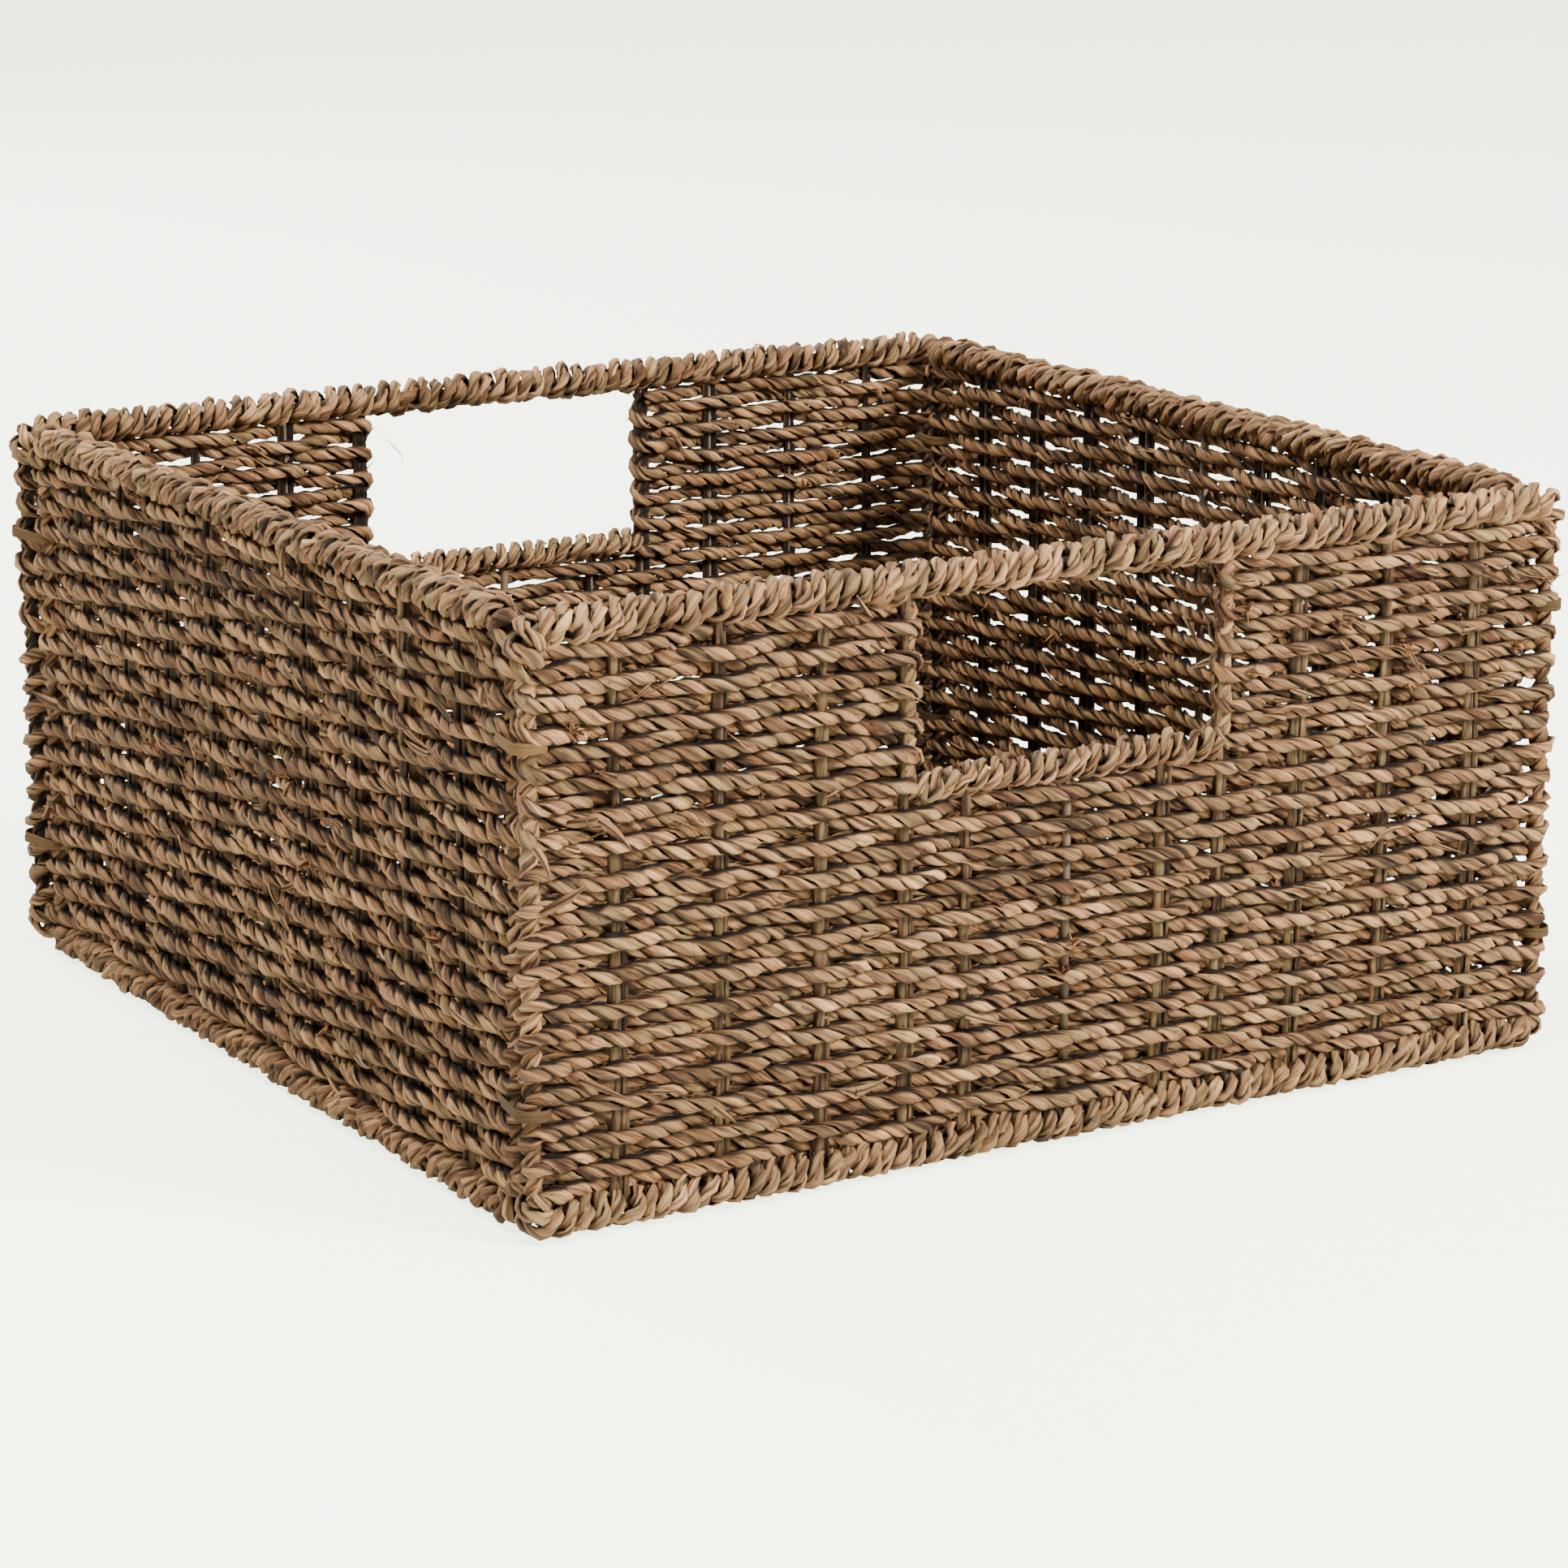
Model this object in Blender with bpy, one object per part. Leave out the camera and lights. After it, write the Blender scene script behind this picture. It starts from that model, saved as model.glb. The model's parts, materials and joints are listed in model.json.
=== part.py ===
"""Seagrass storage basket: four wire-framed woven walls laced at the corners, and a fold-up base.

Units are metres, +Z is up, and the front wall faces -Y.
"""
import math

import bmesh
import bpy
from mathutils import Matrix, Vector

LENGTH = 0.385
DEPTH = 0.380
HEIGHT = 0.190

RIM_R = 0.006
BACK_RIM_R = 0.0049
SILL_R = 0.005
BASE_RIM_R = 0.0046
WIRE_R = 0.0016
CHANNEL_R = 0.0021
WALL_T = 0.011
BASE_T = 0.009
CORNER_R = 0.006
GAP = 0.0003

SIDE_RECESS = 0.002
CORNER_GAP = 0.001
HANDLE_HALF = 0.0533
HANDLE_TOP = HEIGHT - 2 * RIM_R
HANDLE_H = 0.0525
SILL_Z = HANDLE_TOP - HANDLE_H - SILL_R

LONG_STAKES = (-0.158, -0.123, -0.088, -0.0583, 0.0583, 0.088, 0.123, 0.158)
SHORT_STAKES = (-0.0366, 0.0, 0.0366)
SIDE_STAKES = (-0.14, -0.105, -0.07, -0.035, 0.0, 0.035, 0.07, 0.105, 0.14)
BASE_STAKES = (-0.127, -0.096, -0.064, -0.033, 0.0, 0.033, 0.064, 0.096, 0.127)

TIE_W = 0.006
TIE_R = 0.0051
TIE_HEIGHTS = (0.040, 0.150)
BASE_TIE_W = 0.008
BASE_TIE_X = (-0.1405, -0.0475, 0.0475, 0.1405)
BASE_TIE_GAP = 0.0002
BASE_TIE_T = 0.0005

SIDE_LENGTH = DEPTH - 4 * RIM_R - 2 * CORNER_GAP
SIDE_X = LENGTH / 2 - RIM_R - SIDE_RECESS
FACE_Y = DEPTH / 2 - RIM_R

BASE_GAP = 0.002
BASE_HALF_X = SIDE_X - RIM_R - BASE_GAP
HINGE_Y = DEPTH / 2 - 2 * RIM_R - 0.0012 - BASE_RIM_R
HINGE_Z = RIM_R
BASE_REACH = HINGE_Y + DEPTH / 2 - 2 * RIM_R - BASE_GAP - BASE_RIM_R

WEAVE_COLOUR = (0.46, 0.35, 0.20, 1.0)
WRAP_COLOUR = (0.52, 0.41, 0.25, 1.0)
BASE_COLOUR = (0.40, 0.30, 0.17, 1.0)
TIE_COLOUR = (0.24, 0.23, 0.11, 1.0)
WIRE_COLOUR = (0.10, 0.09, 0.07, 1.0)

SIDES = 12


def clear_scene():
    """Remove every object of the open scene."""
    for obj in list(bpy.data.objects):
        bpy.data.objects.remove(obj, do_unlink=True)


def new_collection(name, hidden=False):
    """Return a new collection linked to the scene."""
    made = bpy.data.collections.new(name)
    bpy.context.scene.collection.children.link(made)
    made.hide_render = hidden
    return made


def new_material(name, colour, roughness, metallic=0.0):
    """Return a Principled BSDF material."""
    made = bpy.data.materials.new(name)
    made.use_nodes = True
    made.diffuse_color = colour
    shader = made.node_tree.nodes["Principled BSDF"]
    shader.inputs["Base Color"].default_value = colour
    shader.inputs["Roughness"].default_value = roughness
    shader.inputs["Metallic"].default_value = metallic
    return made


def shade(mesh):
    """Shade smooth, keeping edges over 40 degrees sharp."""
    mesh.shade_smooth()
    mesh.set_sharp_from_angle(angle=math.radians(40))


def new_object(name, mesh, collection, material=None, place=Matrix()):
    """Return an object for a mesh, placed by a world matrix."""
    obj = bpy.data.objects.new(name, mesh)
    obj.matrix_world = place
    collection.objects.link(obj)
    if material is not None:
        mesh.materials.append(material)
    return obj


def curve_mesh(curve, name):
    """Turn curve data into a closed mesh and drop the curve."""
    holder = bpy.data.objects.new(name + "_curve", curve)
    bpy.context.scene.collection.objects.link(holder)
    bpy.context.view_layer.update()
    graph = bpy.context.evaluated_depsgraph_get()
    mesh = bpy.data.meshes.new_from_object(holder.evaluated_get(graph))
    mesh.name = name
    bpy.data.objects.remove(holder, do_unlink=True)
    work = bmesh.new()
    work.from_mesh(mesh)
    bmesh.ops.remove_doubles(work, verts=work.verts, dist=0.00001)
    bmesh.ops.recalc_face_normals(work, faces=work.faces)
    work.to_mesh(mesh)
    work.free()
    return mesh


def add_spline(curve, points):
    """Add one closed straight-segment spline."""
    spline = curve.splines.new("POLY")
    spline.points.add(len(points) - 1)
    for point, co in zip(spline.points, points):
        point.co = (co[0], co[1], co[2] if len(co) > 2 else 0.0, 1.0)
    spline.use_cyclic_u = True


def prism_mesh(name, outline, holes, length):
    """Return a prism of a 2D outline with holes, centred on its own Z axis."""
    curve = bpy.data.curves.new(name, "CURVE")
    curve.dimensions = "2D"
    curve.fill_mode = "BOTH"
    curve.extrude = length / 2
    add_spline(curve, outline)
    for hole in holes:
        add_spline(curve, hole)
    mesh = curve_mesh(curve, name)
    shade(mesh)
    return mesh


def tube_mesh(name, points):
    """Return a closed wire loop through the given points."""
    curve = bpy.data.curves.new(name, "CURVE")
    curve.dimensions = "3D"
    curve.bevel_depth = WIRE_R
    curve.bevel_resolution = 2
    add_spline(curve, points)
    mesh = curve_mesh(curve, name)
    shade(mesh)
    return mesh


def arc(centre, radius, start, end, steps):
    """Return points of a circular arc, angles in degrees, both ends included."""
    found = []
    for i in range(steps + 1):
        angle = math.radians(start + (end - start) * i / steps)
        found.append((centre[0] + radius * math.cos(angle), centre[1] + radius * math.sin(angle)))
    return found


def circle(centre, radius, turn, steps=8):
    """Return the points of a closed circle whose first point is turned by some degrees."""
    return arc(centre, radius, turn, turn + 360.0, steps)[:-1]


def channel_holes(stakes):
    """Return a channel outline for every stake, each turned a little so that no corners line up."""
    return [circle((x, 0.0), CHANNEL_R, 5.0 + 2.7 * i) for i, x in enumerate(stakes)]


def capsule(first, second, r_first, r_second, steps=6):
    """Return a closed outline around two circles."""
    a = Vector(first)
    b = Vector(second)
    run = b - a
    lean = math.degrees(math.asin((r_first - r_second) / run.length))
    head = math.degrees(math.atan2(run.y, run.x))
    side = 90.0 - lean
    outline = arc(b, r_second, head - side, head + side, steps)
    outline += arc(a, r_first, head + side, head + 360.0 - side, steps)
    return outline


def wrap_outline(radius):
    """Return the section of a rim wrapping: a round bar with a wire channel open towards -Y."""
    corner = radius / math.cos(math.pi / SIDES)
    outer = arc((0.0, 0.0), corner, -45.0, 225.0, 9)
    slot = CHANNEL_R
    mouth = -radius * 0.93
    inner = arc((0.0, 0.0), slot, 180.0, 0.0, 6)
    return outer + [(-slot, mouth)] + inner + [(slot, mouth)]


def rounded_loop(half, low, high, radius):
    """Return a rounded rectangle in the XZ plane as 3D points."""
    points = []
    for x, z, start in ((half - radius, high - radius, 0.0), (-half + radius, high - radius, 90.0),
                        (-half + radius, low + radius, 180.0), (half - radius, low + radius, 270.0)):
        points += [(px, 0.0, pz) for px, pz in arc((x, z), radius, start, start + 90.0, 4)]
    return points


def rods_mesh(name, rods):
    """Return one mesh of separate straight rods, each given as (start, end)."""
    work = bmesh.new()
    for start, end in rods:
        a = Vector(start)
        run = Vector(end) - a
        turn = run.to_track_quat("Z", "Y").to_matrix().to_4x4()
        place = Matrix.Translation(a + run / 2) @ turn @ Matrix.Rotation(math.radians(7.0), 4, "Z")
        bmesh.ops.create_cone(work, cap_ends=True, segments=8, radius1=WIRE_R, radius2=WIRE_R,
                              depth=run.length, matrix=place)
    mesh = bpy.data.meshes.new(name)
    work.to_mesh(mesh)
    work.free()
    return mesh


def boxes_mesh(name, boxes):
    """Return one mesh of separate boxes, each given as (low corner, high corner)."""
    work = bmesh.new()
    for low, high in boxes:
        a = Vector(low)
        b = Vector(high)
        place = Matrix.Translation((a + b) / 2) @ Matrix.Diagonal((b - a).to_4d())
        bmesh.ops.create_cube(work, size=1.0, matrix=place)
    mesh = bpy.data.meshes.new(name)
    work.to_mesh(mesh)
    work.free()
    return mesh


def boolean(target, mesh, operation):
    """Add an exact Boolean whose operand sits in the target's own space."""
    tool = new_object(mesh.name, mesh, TOOLS, place=target.matrix_world)
    tool.display_type = "WIRE"
    tool.hide_render = True
    modifier = target.modifiers.new(operation.title(), "BOOLEAN")
    modifier.solver = "EXACT"
    modifier.operation = operation
    modifier.object = tool


def add_wrap(name, length, radius, place, material):
    """Add a rim wrapping that runs along its own X axis, its channel open towards its own -Z."""
    turn = Matrix.Rotation(math.radians(90.0), 4, "Z") @ Matrix.Rotation(math.radians(90.0), 4, "X")
    mesh = prism_mesh(name, wrap_outline(radius), [], length)
    mesh.transform(turn)
    return new_object(name, mesh, PARTS, material, place)


def add_slab(name, length, thickness, low, high, stakes, place, material, ends=True):
    """Add a woven sheet in its own XZ plane, with a channel for every stake."""
    half = length / 2
    if ends:
        bend = thickness / 2
        outline = capsule((-half + bend, 0.0), (half - bend, 0.0), bend, bend)
        stakes = list(stakes) + [-half + bend, half - bend]
    else:
        edge = thickness / 2
        outline = [(-half, -edge), (half, -edge), (half, edge), (-half, edge)]
    mesh = prism_mesh(name, outline, channel_holes(stakes), high - low)
    mesh.transform(Matrix.Translation((0.0, 0.0, (low + high) / 2)))
    return new_object(name, mesh, PARTS, material, place)


def add_wall(name, length, place, stakes, low_r, handle):
    """Add one wall: wire frame, two rim wrappings, woven sheet and, if wanted, the handle."""
    wire_z = HEIGHT - RIM_R
    half = length / 2
    side = half - WALL_T / 2
    frame = new_object(name + "_wire_frame",
                       tube_mesh(name + "_wire_frame", rounded_loop(side, RIM_R, wire_z, CORNER_R)),
                       PARTS, WIRE, place)
    rods = [((x, 0.0, RIM_R), (x, 0.0, wire_z)) for x in stakes]
    if handle:
        rods += [((x, 0.0, RIM_R), (x, 0.0, SILL_Z)) for x in SHORT_STAKES]
    boolean(frame, rods_mesh(name + "_stake_rods", rods), "UNION")
    top = Matrix.Translation((0.0, 0.0, wire_z))
    add_wrap(name + "_top_wrap", length, RIM_R, place @ top, WRAP)
    bottom = Matrix.Translation((0.0, 0.0, RIM_R)) @ Matrix.Rotation(math.pi, 4, "X")
    add_wrap(name + "_bottom_wrap", length, low_r, place @ bottom, WRAP)
    low = 2 * RIM_R + GAP
    high = HEIGHT - 2 * RIM_R - GAP
    channels = list(stakes) + (list(SHORT_STAKES) if handle else [])
    weave = add_slab(name + "_weave", length, WALL_T, low, high, channels, place, WEAVE)
    deep = WALL_T
    notch = 2 * TIE_R + 0.002
    cuts = []
    for z in TIE_HEIGHTS:
        for sign in (-1.0, 1.0):
            ends = sorted((sign * (half - notch), sign * (half + 0.001)))
            cuts.append(((ends[0], -deep, z - TIE_W / 2 - GAP), (ends[1], deep, z + TIE_W / 2 + GAP)))
    boolean(weave, boxes_mesh(name + "_tie_notches", cuts), "DIFFERENCE")
    if handle:
        add_handle(name, frame, weave, place)


def add_handle(name, frame, weave, place):
    """Cut the hand opening out of a wall and line its lower edge."""
    reach = LONG_STAKES[4]
    boolean(frame, rods_mesh(name + "_sill_rod", [((-reach, 0.0, SILL_Z), (reach, 0.0, SILL_Z))]), "UNION")
    low = SILL_Z - SILL_R - GAP
    window = ((-HANDLE_HALF, -WALL_T, low), (HANDLE_HALF, WALL_T, HEIGHT))
    boolean(weave, boxes_mesh(name + "_window", [window]), "DIFFERENCE")
    slot = CHANNEL_R
    lead = ((-reach, -slot, SILL_Z - slot), (reach, slot, SILL_Z + slot))
    boolean(weave, boxes_mesh(name + "_sill_lead", [lead]), "DIFFERENCE")
    sill = Matrix.Translation((0.0, 0.0, SILL_Z))
    add_wrap(name + "_handle_sill_wrap", 2 * (HANDLE_HALF - GAP), SILL_R, place @ sill, WRAP)


def add_corner_tie(name, first, second, z):
    """Add a leaf lashing around the side wires of two walls that meet at a corner."""
    outline = capsule(first, second, TIE_R, TIE_R)
    hole = capsule(first, second, CHANNEL_R, CHANNEL_R)
    mesh = prism_mesh(name, outline, [hole], TIE_W)
    new_object(name, mesh, PARTS, TIE, Matrix.Translation((0.0, 0.0, z)))


def add_corner_ties():
    """Add two lashings at each of the four corners."""
    face_x = LENGTH / 2 - WALL_T / 2
    side_y = SIDE_LENGTH / 2 - WALL_T / 2
    corners = (("front_left", -1, -1), ("front_right", 1, -1), ("back_left", -1, 1), ("back_right", 1, 1))
    for label, sx, sy in corners:
        for level, z in zip(("lower", "upper"), TIE_HEIGHTS):
            add_corner_tie("corner_tie_" + label + "_" + level, (sx * face_x, sy * FACE_Y),
                           (sx * SIDE_X, sy * side_y), z)


def add_base_ties():
    """Add the leaf loops that hinge the base on the back wall's bottom rim."""
    rim = (FACE_Y, RIM_R)
    edge = (HINGE_Y, HINGE_Z)
    steps = 10
    round_up = 1.0 / math.cos(math.pi / 2 / steps)
    inner_rim = (BACK_RIM_R / math.cos(math.pi / SIDES) + BASE_TIE_GAP) * round_up
    inner_edge = (BASE_RIM_R / math.cos(math.pi / SIDES) + BASE_TIE_GAP) * round_up
    hole = capsule(rim, edge, inner_rim, inner_edge, steps)
    outline = capsule(rim, edge, inner_rim + BASE_TIE_T, inner_edge + BASE_TIE_T, steps)
    turn = Matrix.Rotation(math.radians(90.0), 4, "Z") @ Matrix.Rotation(math.radians(90.0), 4, "X")
    for i, x in enumerate(BASE_TIE_X):
        name = "base_tie_" + str(i + 1)
        mesh = prism_mesh(name, outline, [hole], BASE_TIE_W)
        mesh.transform(turn)
        new_object(name, mesh, PARTS, TIE, Matrix.Translation((x, 0.0, 0.0)))


def add_base():
    """Add the base panel under an empty that stands on the hinge axis."""
    pivot = bpy.data.objects.new("base_pivot", None)
    PARTS.objects.link(pivot)
    pivot.location = (0.0, HINGE_Y, HINGE_Z)
    bpy.context.view_layer.update()
    lay = pivot.matrix_world @ Matrix.Rotation(math.radians(90.0), 4, "X")
    half = BASE_HALF_X - BASE_RIM_R
    frame = new_object("base_wire_frame",
                       tube_mesh("base_wire_frame", rounded_loop(half, 0.0, BASE_REACH, CORNER_R)),
                       PARTS, WIRE, lay)
    rods = [((x, 0.0, 0.0), (x, 0.0, BASE_REACH)) for x in BASE_STAKES]
    boolean(frame, rods_mesh("base_stake_rods", rods), "UNION")
    margin = BASE_RIM_R + GAP
    weave = add_slab("base_weave", 2 * (half - margin), BASE_T, margin, BASE_REACH - margin,
                     BASE_STAKES, lay, WEAVE_BASE, ends=False)
    reach = BASE_TIE_W / 2 + 0.001
    cuts = [((x - reach, -BASE_T, 0.0), (x + reach, BASE_T, 0.0068)) for x in BASE_TIE_X]
    boolean(weave, boxes_mesh("base_tie_notches", cuts), "DIFFERENCE")
    flip = Matrix.Rotation(math.pi, 4, "X")
    far = Matrix.Translation((0.0, 0.0, BASE_REACH))
    wraps = [add_wrap("base_hinge_edge_wrap", 2 * BASE_HALF_X, BASE_RIM_R, lay @ flip, WRAP),
             add_wrap("base_front_edge_wrap", 2 * BASE_HALF_X, BASE_RIM_R, lay @ far, WRAP)]
    run = BASE_REACH - 2 * margin
    for label, x, angle in (("left", -half, -90.0), ("right", half, 90.0)):
        turn = Matrix.Translation((x, 0.0, BASE_REACH / 2)) @ Matrix.Rotation(math.radians(angle), 4, "Y")
        wraps.append(add_wrap("base_" + label + "_edge_wrap", run, BASE_RIM_R, lay @ turn, WRAP))
    for piece in [frame, weave] + wraps:
        world = piece.matrix_world.copy()
        piece.parent = pivot
        piece.matrix_world = world


clear_scene()
PARTS = new_collection("seagrass_basket")
TOOLS = new_collection("cutters", hidden=True)
WEAVE = new_material("seagrass_weave", WEAVE_COLOUR, 0.75)
WEAVE_BASE = new_material("seagrass_base", BASE_COLOUR, 0.8)
WRAP = new_material("seagrass_wrap", WRAP_COLOUR, 0.7)
TIE = new_material("leaf_tie", TIE_COLOUR, 0.6)
WIRE = new_material("frame_wire", WIRE_COLOUR, 0.5, 0.6)

add_wall("front", LENGTH, Matrix.Translation((0.0, -FACE_Y, 0.0)), LONG_STAKES, RIM_R, True)
add_wall("back", LENGTH, Matrix.Translation((0.0, FACE_Y, 0.0)), LONG_STAKES, BACK_RIM_R, True)
QUARTER = Matrix.Rotation(math.radians(90.0), 4, "Z")
add_wall("left", SIDE_LENGTH, Matrix.Translation((-SIDE_X, 0.0, 0.0)) @ QUARTER, SIDE_STAKES, RIM_R, False)
add_wall("right", SIDE_LENGTH, Matrix.Translation((SIDE_X, 0.0, 0.0)) @ QUARTER, SIDE_STAKES, RIM_R, False)
add_corner_ties()
add_base()
add_base_ties()
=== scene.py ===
"""Looks of the seagrass storage basket: woven walls, wound rims, leaf lashings and the base."""
from __future__ import annotations

import json
import logging
import math
from dataclasses import dataclass, field
from enum import Enum
from typing import Sequence

import bmesh
import bpy
import numpy as np
from mathutils import Matrix, Vector


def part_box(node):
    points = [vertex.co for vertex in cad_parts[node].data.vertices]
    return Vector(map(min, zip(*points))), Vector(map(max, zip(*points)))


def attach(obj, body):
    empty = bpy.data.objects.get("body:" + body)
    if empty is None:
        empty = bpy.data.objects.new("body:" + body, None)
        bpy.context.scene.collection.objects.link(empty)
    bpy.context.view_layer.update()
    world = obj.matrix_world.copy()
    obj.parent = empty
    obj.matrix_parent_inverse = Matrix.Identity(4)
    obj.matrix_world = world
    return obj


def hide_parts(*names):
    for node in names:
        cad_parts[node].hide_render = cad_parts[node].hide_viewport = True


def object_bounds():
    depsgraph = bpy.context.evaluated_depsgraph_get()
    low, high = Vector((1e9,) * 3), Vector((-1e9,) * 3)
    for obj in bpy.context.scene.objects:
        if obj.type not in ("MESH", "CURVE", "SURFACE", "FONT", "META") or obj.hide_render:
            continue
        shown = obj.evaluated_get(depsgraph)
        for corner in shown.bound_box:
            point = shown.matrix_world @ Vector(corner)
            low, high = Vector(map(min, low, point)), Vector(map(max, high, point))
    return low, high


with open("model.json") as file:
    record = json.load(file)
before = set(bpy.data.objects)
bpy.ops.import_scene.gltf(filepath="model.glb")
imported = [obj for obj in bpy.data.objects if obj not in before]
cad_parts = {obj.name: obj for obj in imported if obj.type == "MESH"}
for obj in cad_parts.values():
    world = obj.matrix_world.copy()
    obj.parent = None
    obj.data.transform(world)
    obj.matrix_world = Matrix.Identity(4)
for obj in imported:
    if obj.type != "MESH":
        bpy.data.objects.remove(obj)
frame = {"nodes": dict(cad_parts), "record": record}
CAD_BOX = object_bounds()
LOG = logging.getLogger("basket")

Colour = tuple[float, float, float]
Array = np.ndarray

TAU = 2.0 * math.pi

WIRE_RADIUS = 0.0016
COVERED_WIRE_RADIUS = 0.0008
WIRE_CORNER = 0.006
LEAF_THICKNESS = 0.0003
FLOOR_SKIN = 0.0010
FLOOR_GIVE = 0.3
FLOOR_GAP = 0.0006
OUTWARDS = (0.0, -1.0, 0.0)


class Side(Enum):
    """The four walls, each with the quarter turns that bring its local frame into the room."""

    FRONT = 0
    BACK = 2
    LEFT = 3
    RIGHT = 1


# Shader tools


class Value:
    """A number that varies over a surface, with Python operators that add Math nodes."""

    def __init__(self, shader: "Shader", socket: bpy.types.NodeSocket) -> None:
        """Wrap one output socket of a shader's tree."""
        self.shader = shader
        self.socket = socket

    def maths(self, operation: str, *others: "Value | float", swap: bool = False) -> "Value":
        """Return the result of one Math node.

        Args:
            operation: The Math node's operation.
            others: The other operands, in order.
            swap: Put this value second.

        Returns:
            The node's output.
        """
        operands = [self, *others]
        if swap:
            operands.reverse()
        node = self.shader.node("ShaderNodeMath", {"operation": operation}, dict(enumerate(operands)))
        return Value(self.shader, node.outputs[0])

    def __add__(self, other: "Value | float") -> "Value":
        """Return self + other."""
        return self.maths("ADD", other)

    def __radd__(self, other: float) -> "Value":
        """Return other + self."""
        return self.maths("ADD", other)

    def __sub__(self, other: "Value | float") -> "Value":
        """Return self - other."""
        return self.maths("SUBTRACT", other)

    def __rsub__(self, other: float) -> "Value":
        """Return other - self."""
        return self.maths("SUBTRACT", other, swap=True)

    def __mul__(self, other: "Value | float") -> "Value":
        """Return self * other."""
        return self.maths("MULTIPLY", other)

    def __rmul__(self, other: float) -> "Value":
        """Return other * self."""
        return self.maths("MULTIPLY", other)

    def clamped(self) -> "Value":
        """Return the value held between 0 and 1."""
        return self.maths("MINIMUM", 1.0).maths("MAXIMUM", 0.0)

    def step(self, low: float, high: float) -> "Value":
        """Return a smooth step from 0 at low to 1 at high."""
        node = self.shader.node("ShaderNodeMapRange", {"interpolation_type": "SMOOTHSTEP"},
                                {"Value": self, "From Min": low, "From Max": high})
        return Value(self.shader, node.outputs["Result"])


class Shader:
    """One material's node tree."""

    def __init__(self, name: str) -> None:
        """Start a material with a Principled shader.

        Args:
            name: The material's name.
        """
        self.material = bpy.data.materials.new(name)
        self.material.use_nodes = True
        self.tree = self.material.node_tree
        self.surface = self.tree.nodes["Principled BSDF"]

    def node(self, kind: str, settings: dict | None = None, inputs: dict | None = None) -> bpy.types.Node:
        """Add any node.

        Args:
            kind: The node's type.
            settings: Its own settings, set first; "stops" holds a ramp's stops.
            inputs: Values or links for its sockets, by name or number.

        Returns:
            The new node.
        """
        made = self.tree.nodes.new(kind)
        for key, value in (settings or {}).items():
            if key == "stops":
                self.set_stops(made.color_ramp, value)
            else:
                setattr(made, key, value)
        for key, value in (inputs or {}).items():
            if isinstance(value, Value):
                self.tree.links.new(value.socket, made.inputs[key])
            elif isinstance(value, bpy.types.NodeSocket):
                self.tree.links.new(value, made.inputs[key])
            else:
                made.inputs[key].default_value = value
        return made

    @staticmethod
    def set_stops(ramp: bpy.types.ColorRamp, stops: Sequence[tuple[float, Colour]]) -> None:
        """Set a colour ramp's stops.

        Args:
            ramp: The ramp to fill.
            stops: Position and colour of each stop.
        """
        while len(ramp.elements) < len(stops):
            ramp.elements.new(1.0)
        for element, (place, colour) in zip(ramp.elements, stops):
            element.position = place
            element.color = (*colour, 1.0)

    def attribute(self, name: str) -> Value:
        """Return a number stored on the mesh."""
        return Value(self, self.node("ShaderNodeAttribute", {"attribute_name": name}).outputs["Fac"])

    def attribute_pair(self, name: str) -> tuple[Value, Value]:
        """Read a vector stored on the mesh.

        Args:
            name: The attribute's name.

        Returns:
            The vector's first two parts.
        """
        stored = self.node("ShaderNodeAttribute", {"attribute_name": name}).outputs["Vector"]
        parts = self.node("ShaderNodeSeparateXYZ", {}, {0: stored}).outputs
        return Value(self, parts[0]), Value(self, parts[1])

    def place(self) -> bpy.types.NodeSocket:
        """Return the object coordinates."""
        return self.node("ShaderNodeTexCoord").outputs["Object"]

    def vector(self, x: "Value | float", y: "Value | float", z: "Value | float") -> bpy.types.NodeSocket:
        """Return a vector of three numbers."""
        return self.node("ShaderNodeCombineXYZ", {}, {0: x, 1: y, 2: z}).outputs[0]

    def noise(self, where: bpy.types.NodeSocket, scale: float, detail: float = 2.0,
              roughness: float = 0.5) -> Value:
        """Return a noise value.

        Args:
            where: Coordinates to read.
            scale: Cells for each unit.
            detail: Octaves.
            roughness: Weight of the finer octaves.

        Returns:
            Noise around 0.5.
        """
        node = self.node("ShaderNodeTexNoise", {}, {"Vector": where, "Scale": scale, "Detail": detail,
                                                    "Roughness": roughness})
        return Value(self, node.outputs[0])

    def ramp(self, at: Value, stops: Sequence[tuple[float, Colour]]) -> bpy.types.NodeSocket:
        """Return a colour from a ramp."""
        return self.node("ShaderNodeValToRGB", {"stops": stops}, {0: at}).outputs[0]

    def mix(self, at: "Value | float", first: object, second: object,
            blend: str = "MIX") -> bpy.types.NodeSocket:
        """Mix two colours.

        Args:
            at: Mix factor.
            first: Colour or socket at 0.
            second: Colour or socket at 1.
            blend: The Mix node's blend type.

        Returns:
            The mixed colour.
        """
        sockets = {0: at}
        for index, value in ((6, first), (7, second)):
            sockets[index] = (*value, 1.0) if isinstance(value, tuple) else value
        node = self.node("ShaderNodeMix", {"data_type": "RGBA", "blend_type": blend}, sockets)
        return node.outputs[2]

    def feed(self, socket: str, value: object) -> None:
        """Feed one input of the Principled shader.

        Args:
            socket: The input's name.
            value: A number, a colour or a link.
        """
        if isinstance(value, Value):
            value = value.socket
        if isinstance(value, bpy.types.NodeSocket):
            self.tree.links.new(value, self.surface.inputs[socket])
        else:
            self.surface.inputs[socket].default_value = value

    def bump(self, height: Value, distance: float, strength: float = 1.0) -> None:
        """Feed the Principled shader's normal from a height."""
        node = self.node("ShaderNodeBump", {}, {"Height": height, "Distance": distance,
                                                "Strength": strength})
        self.feed("Normal", node.outputs[0])


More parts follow.
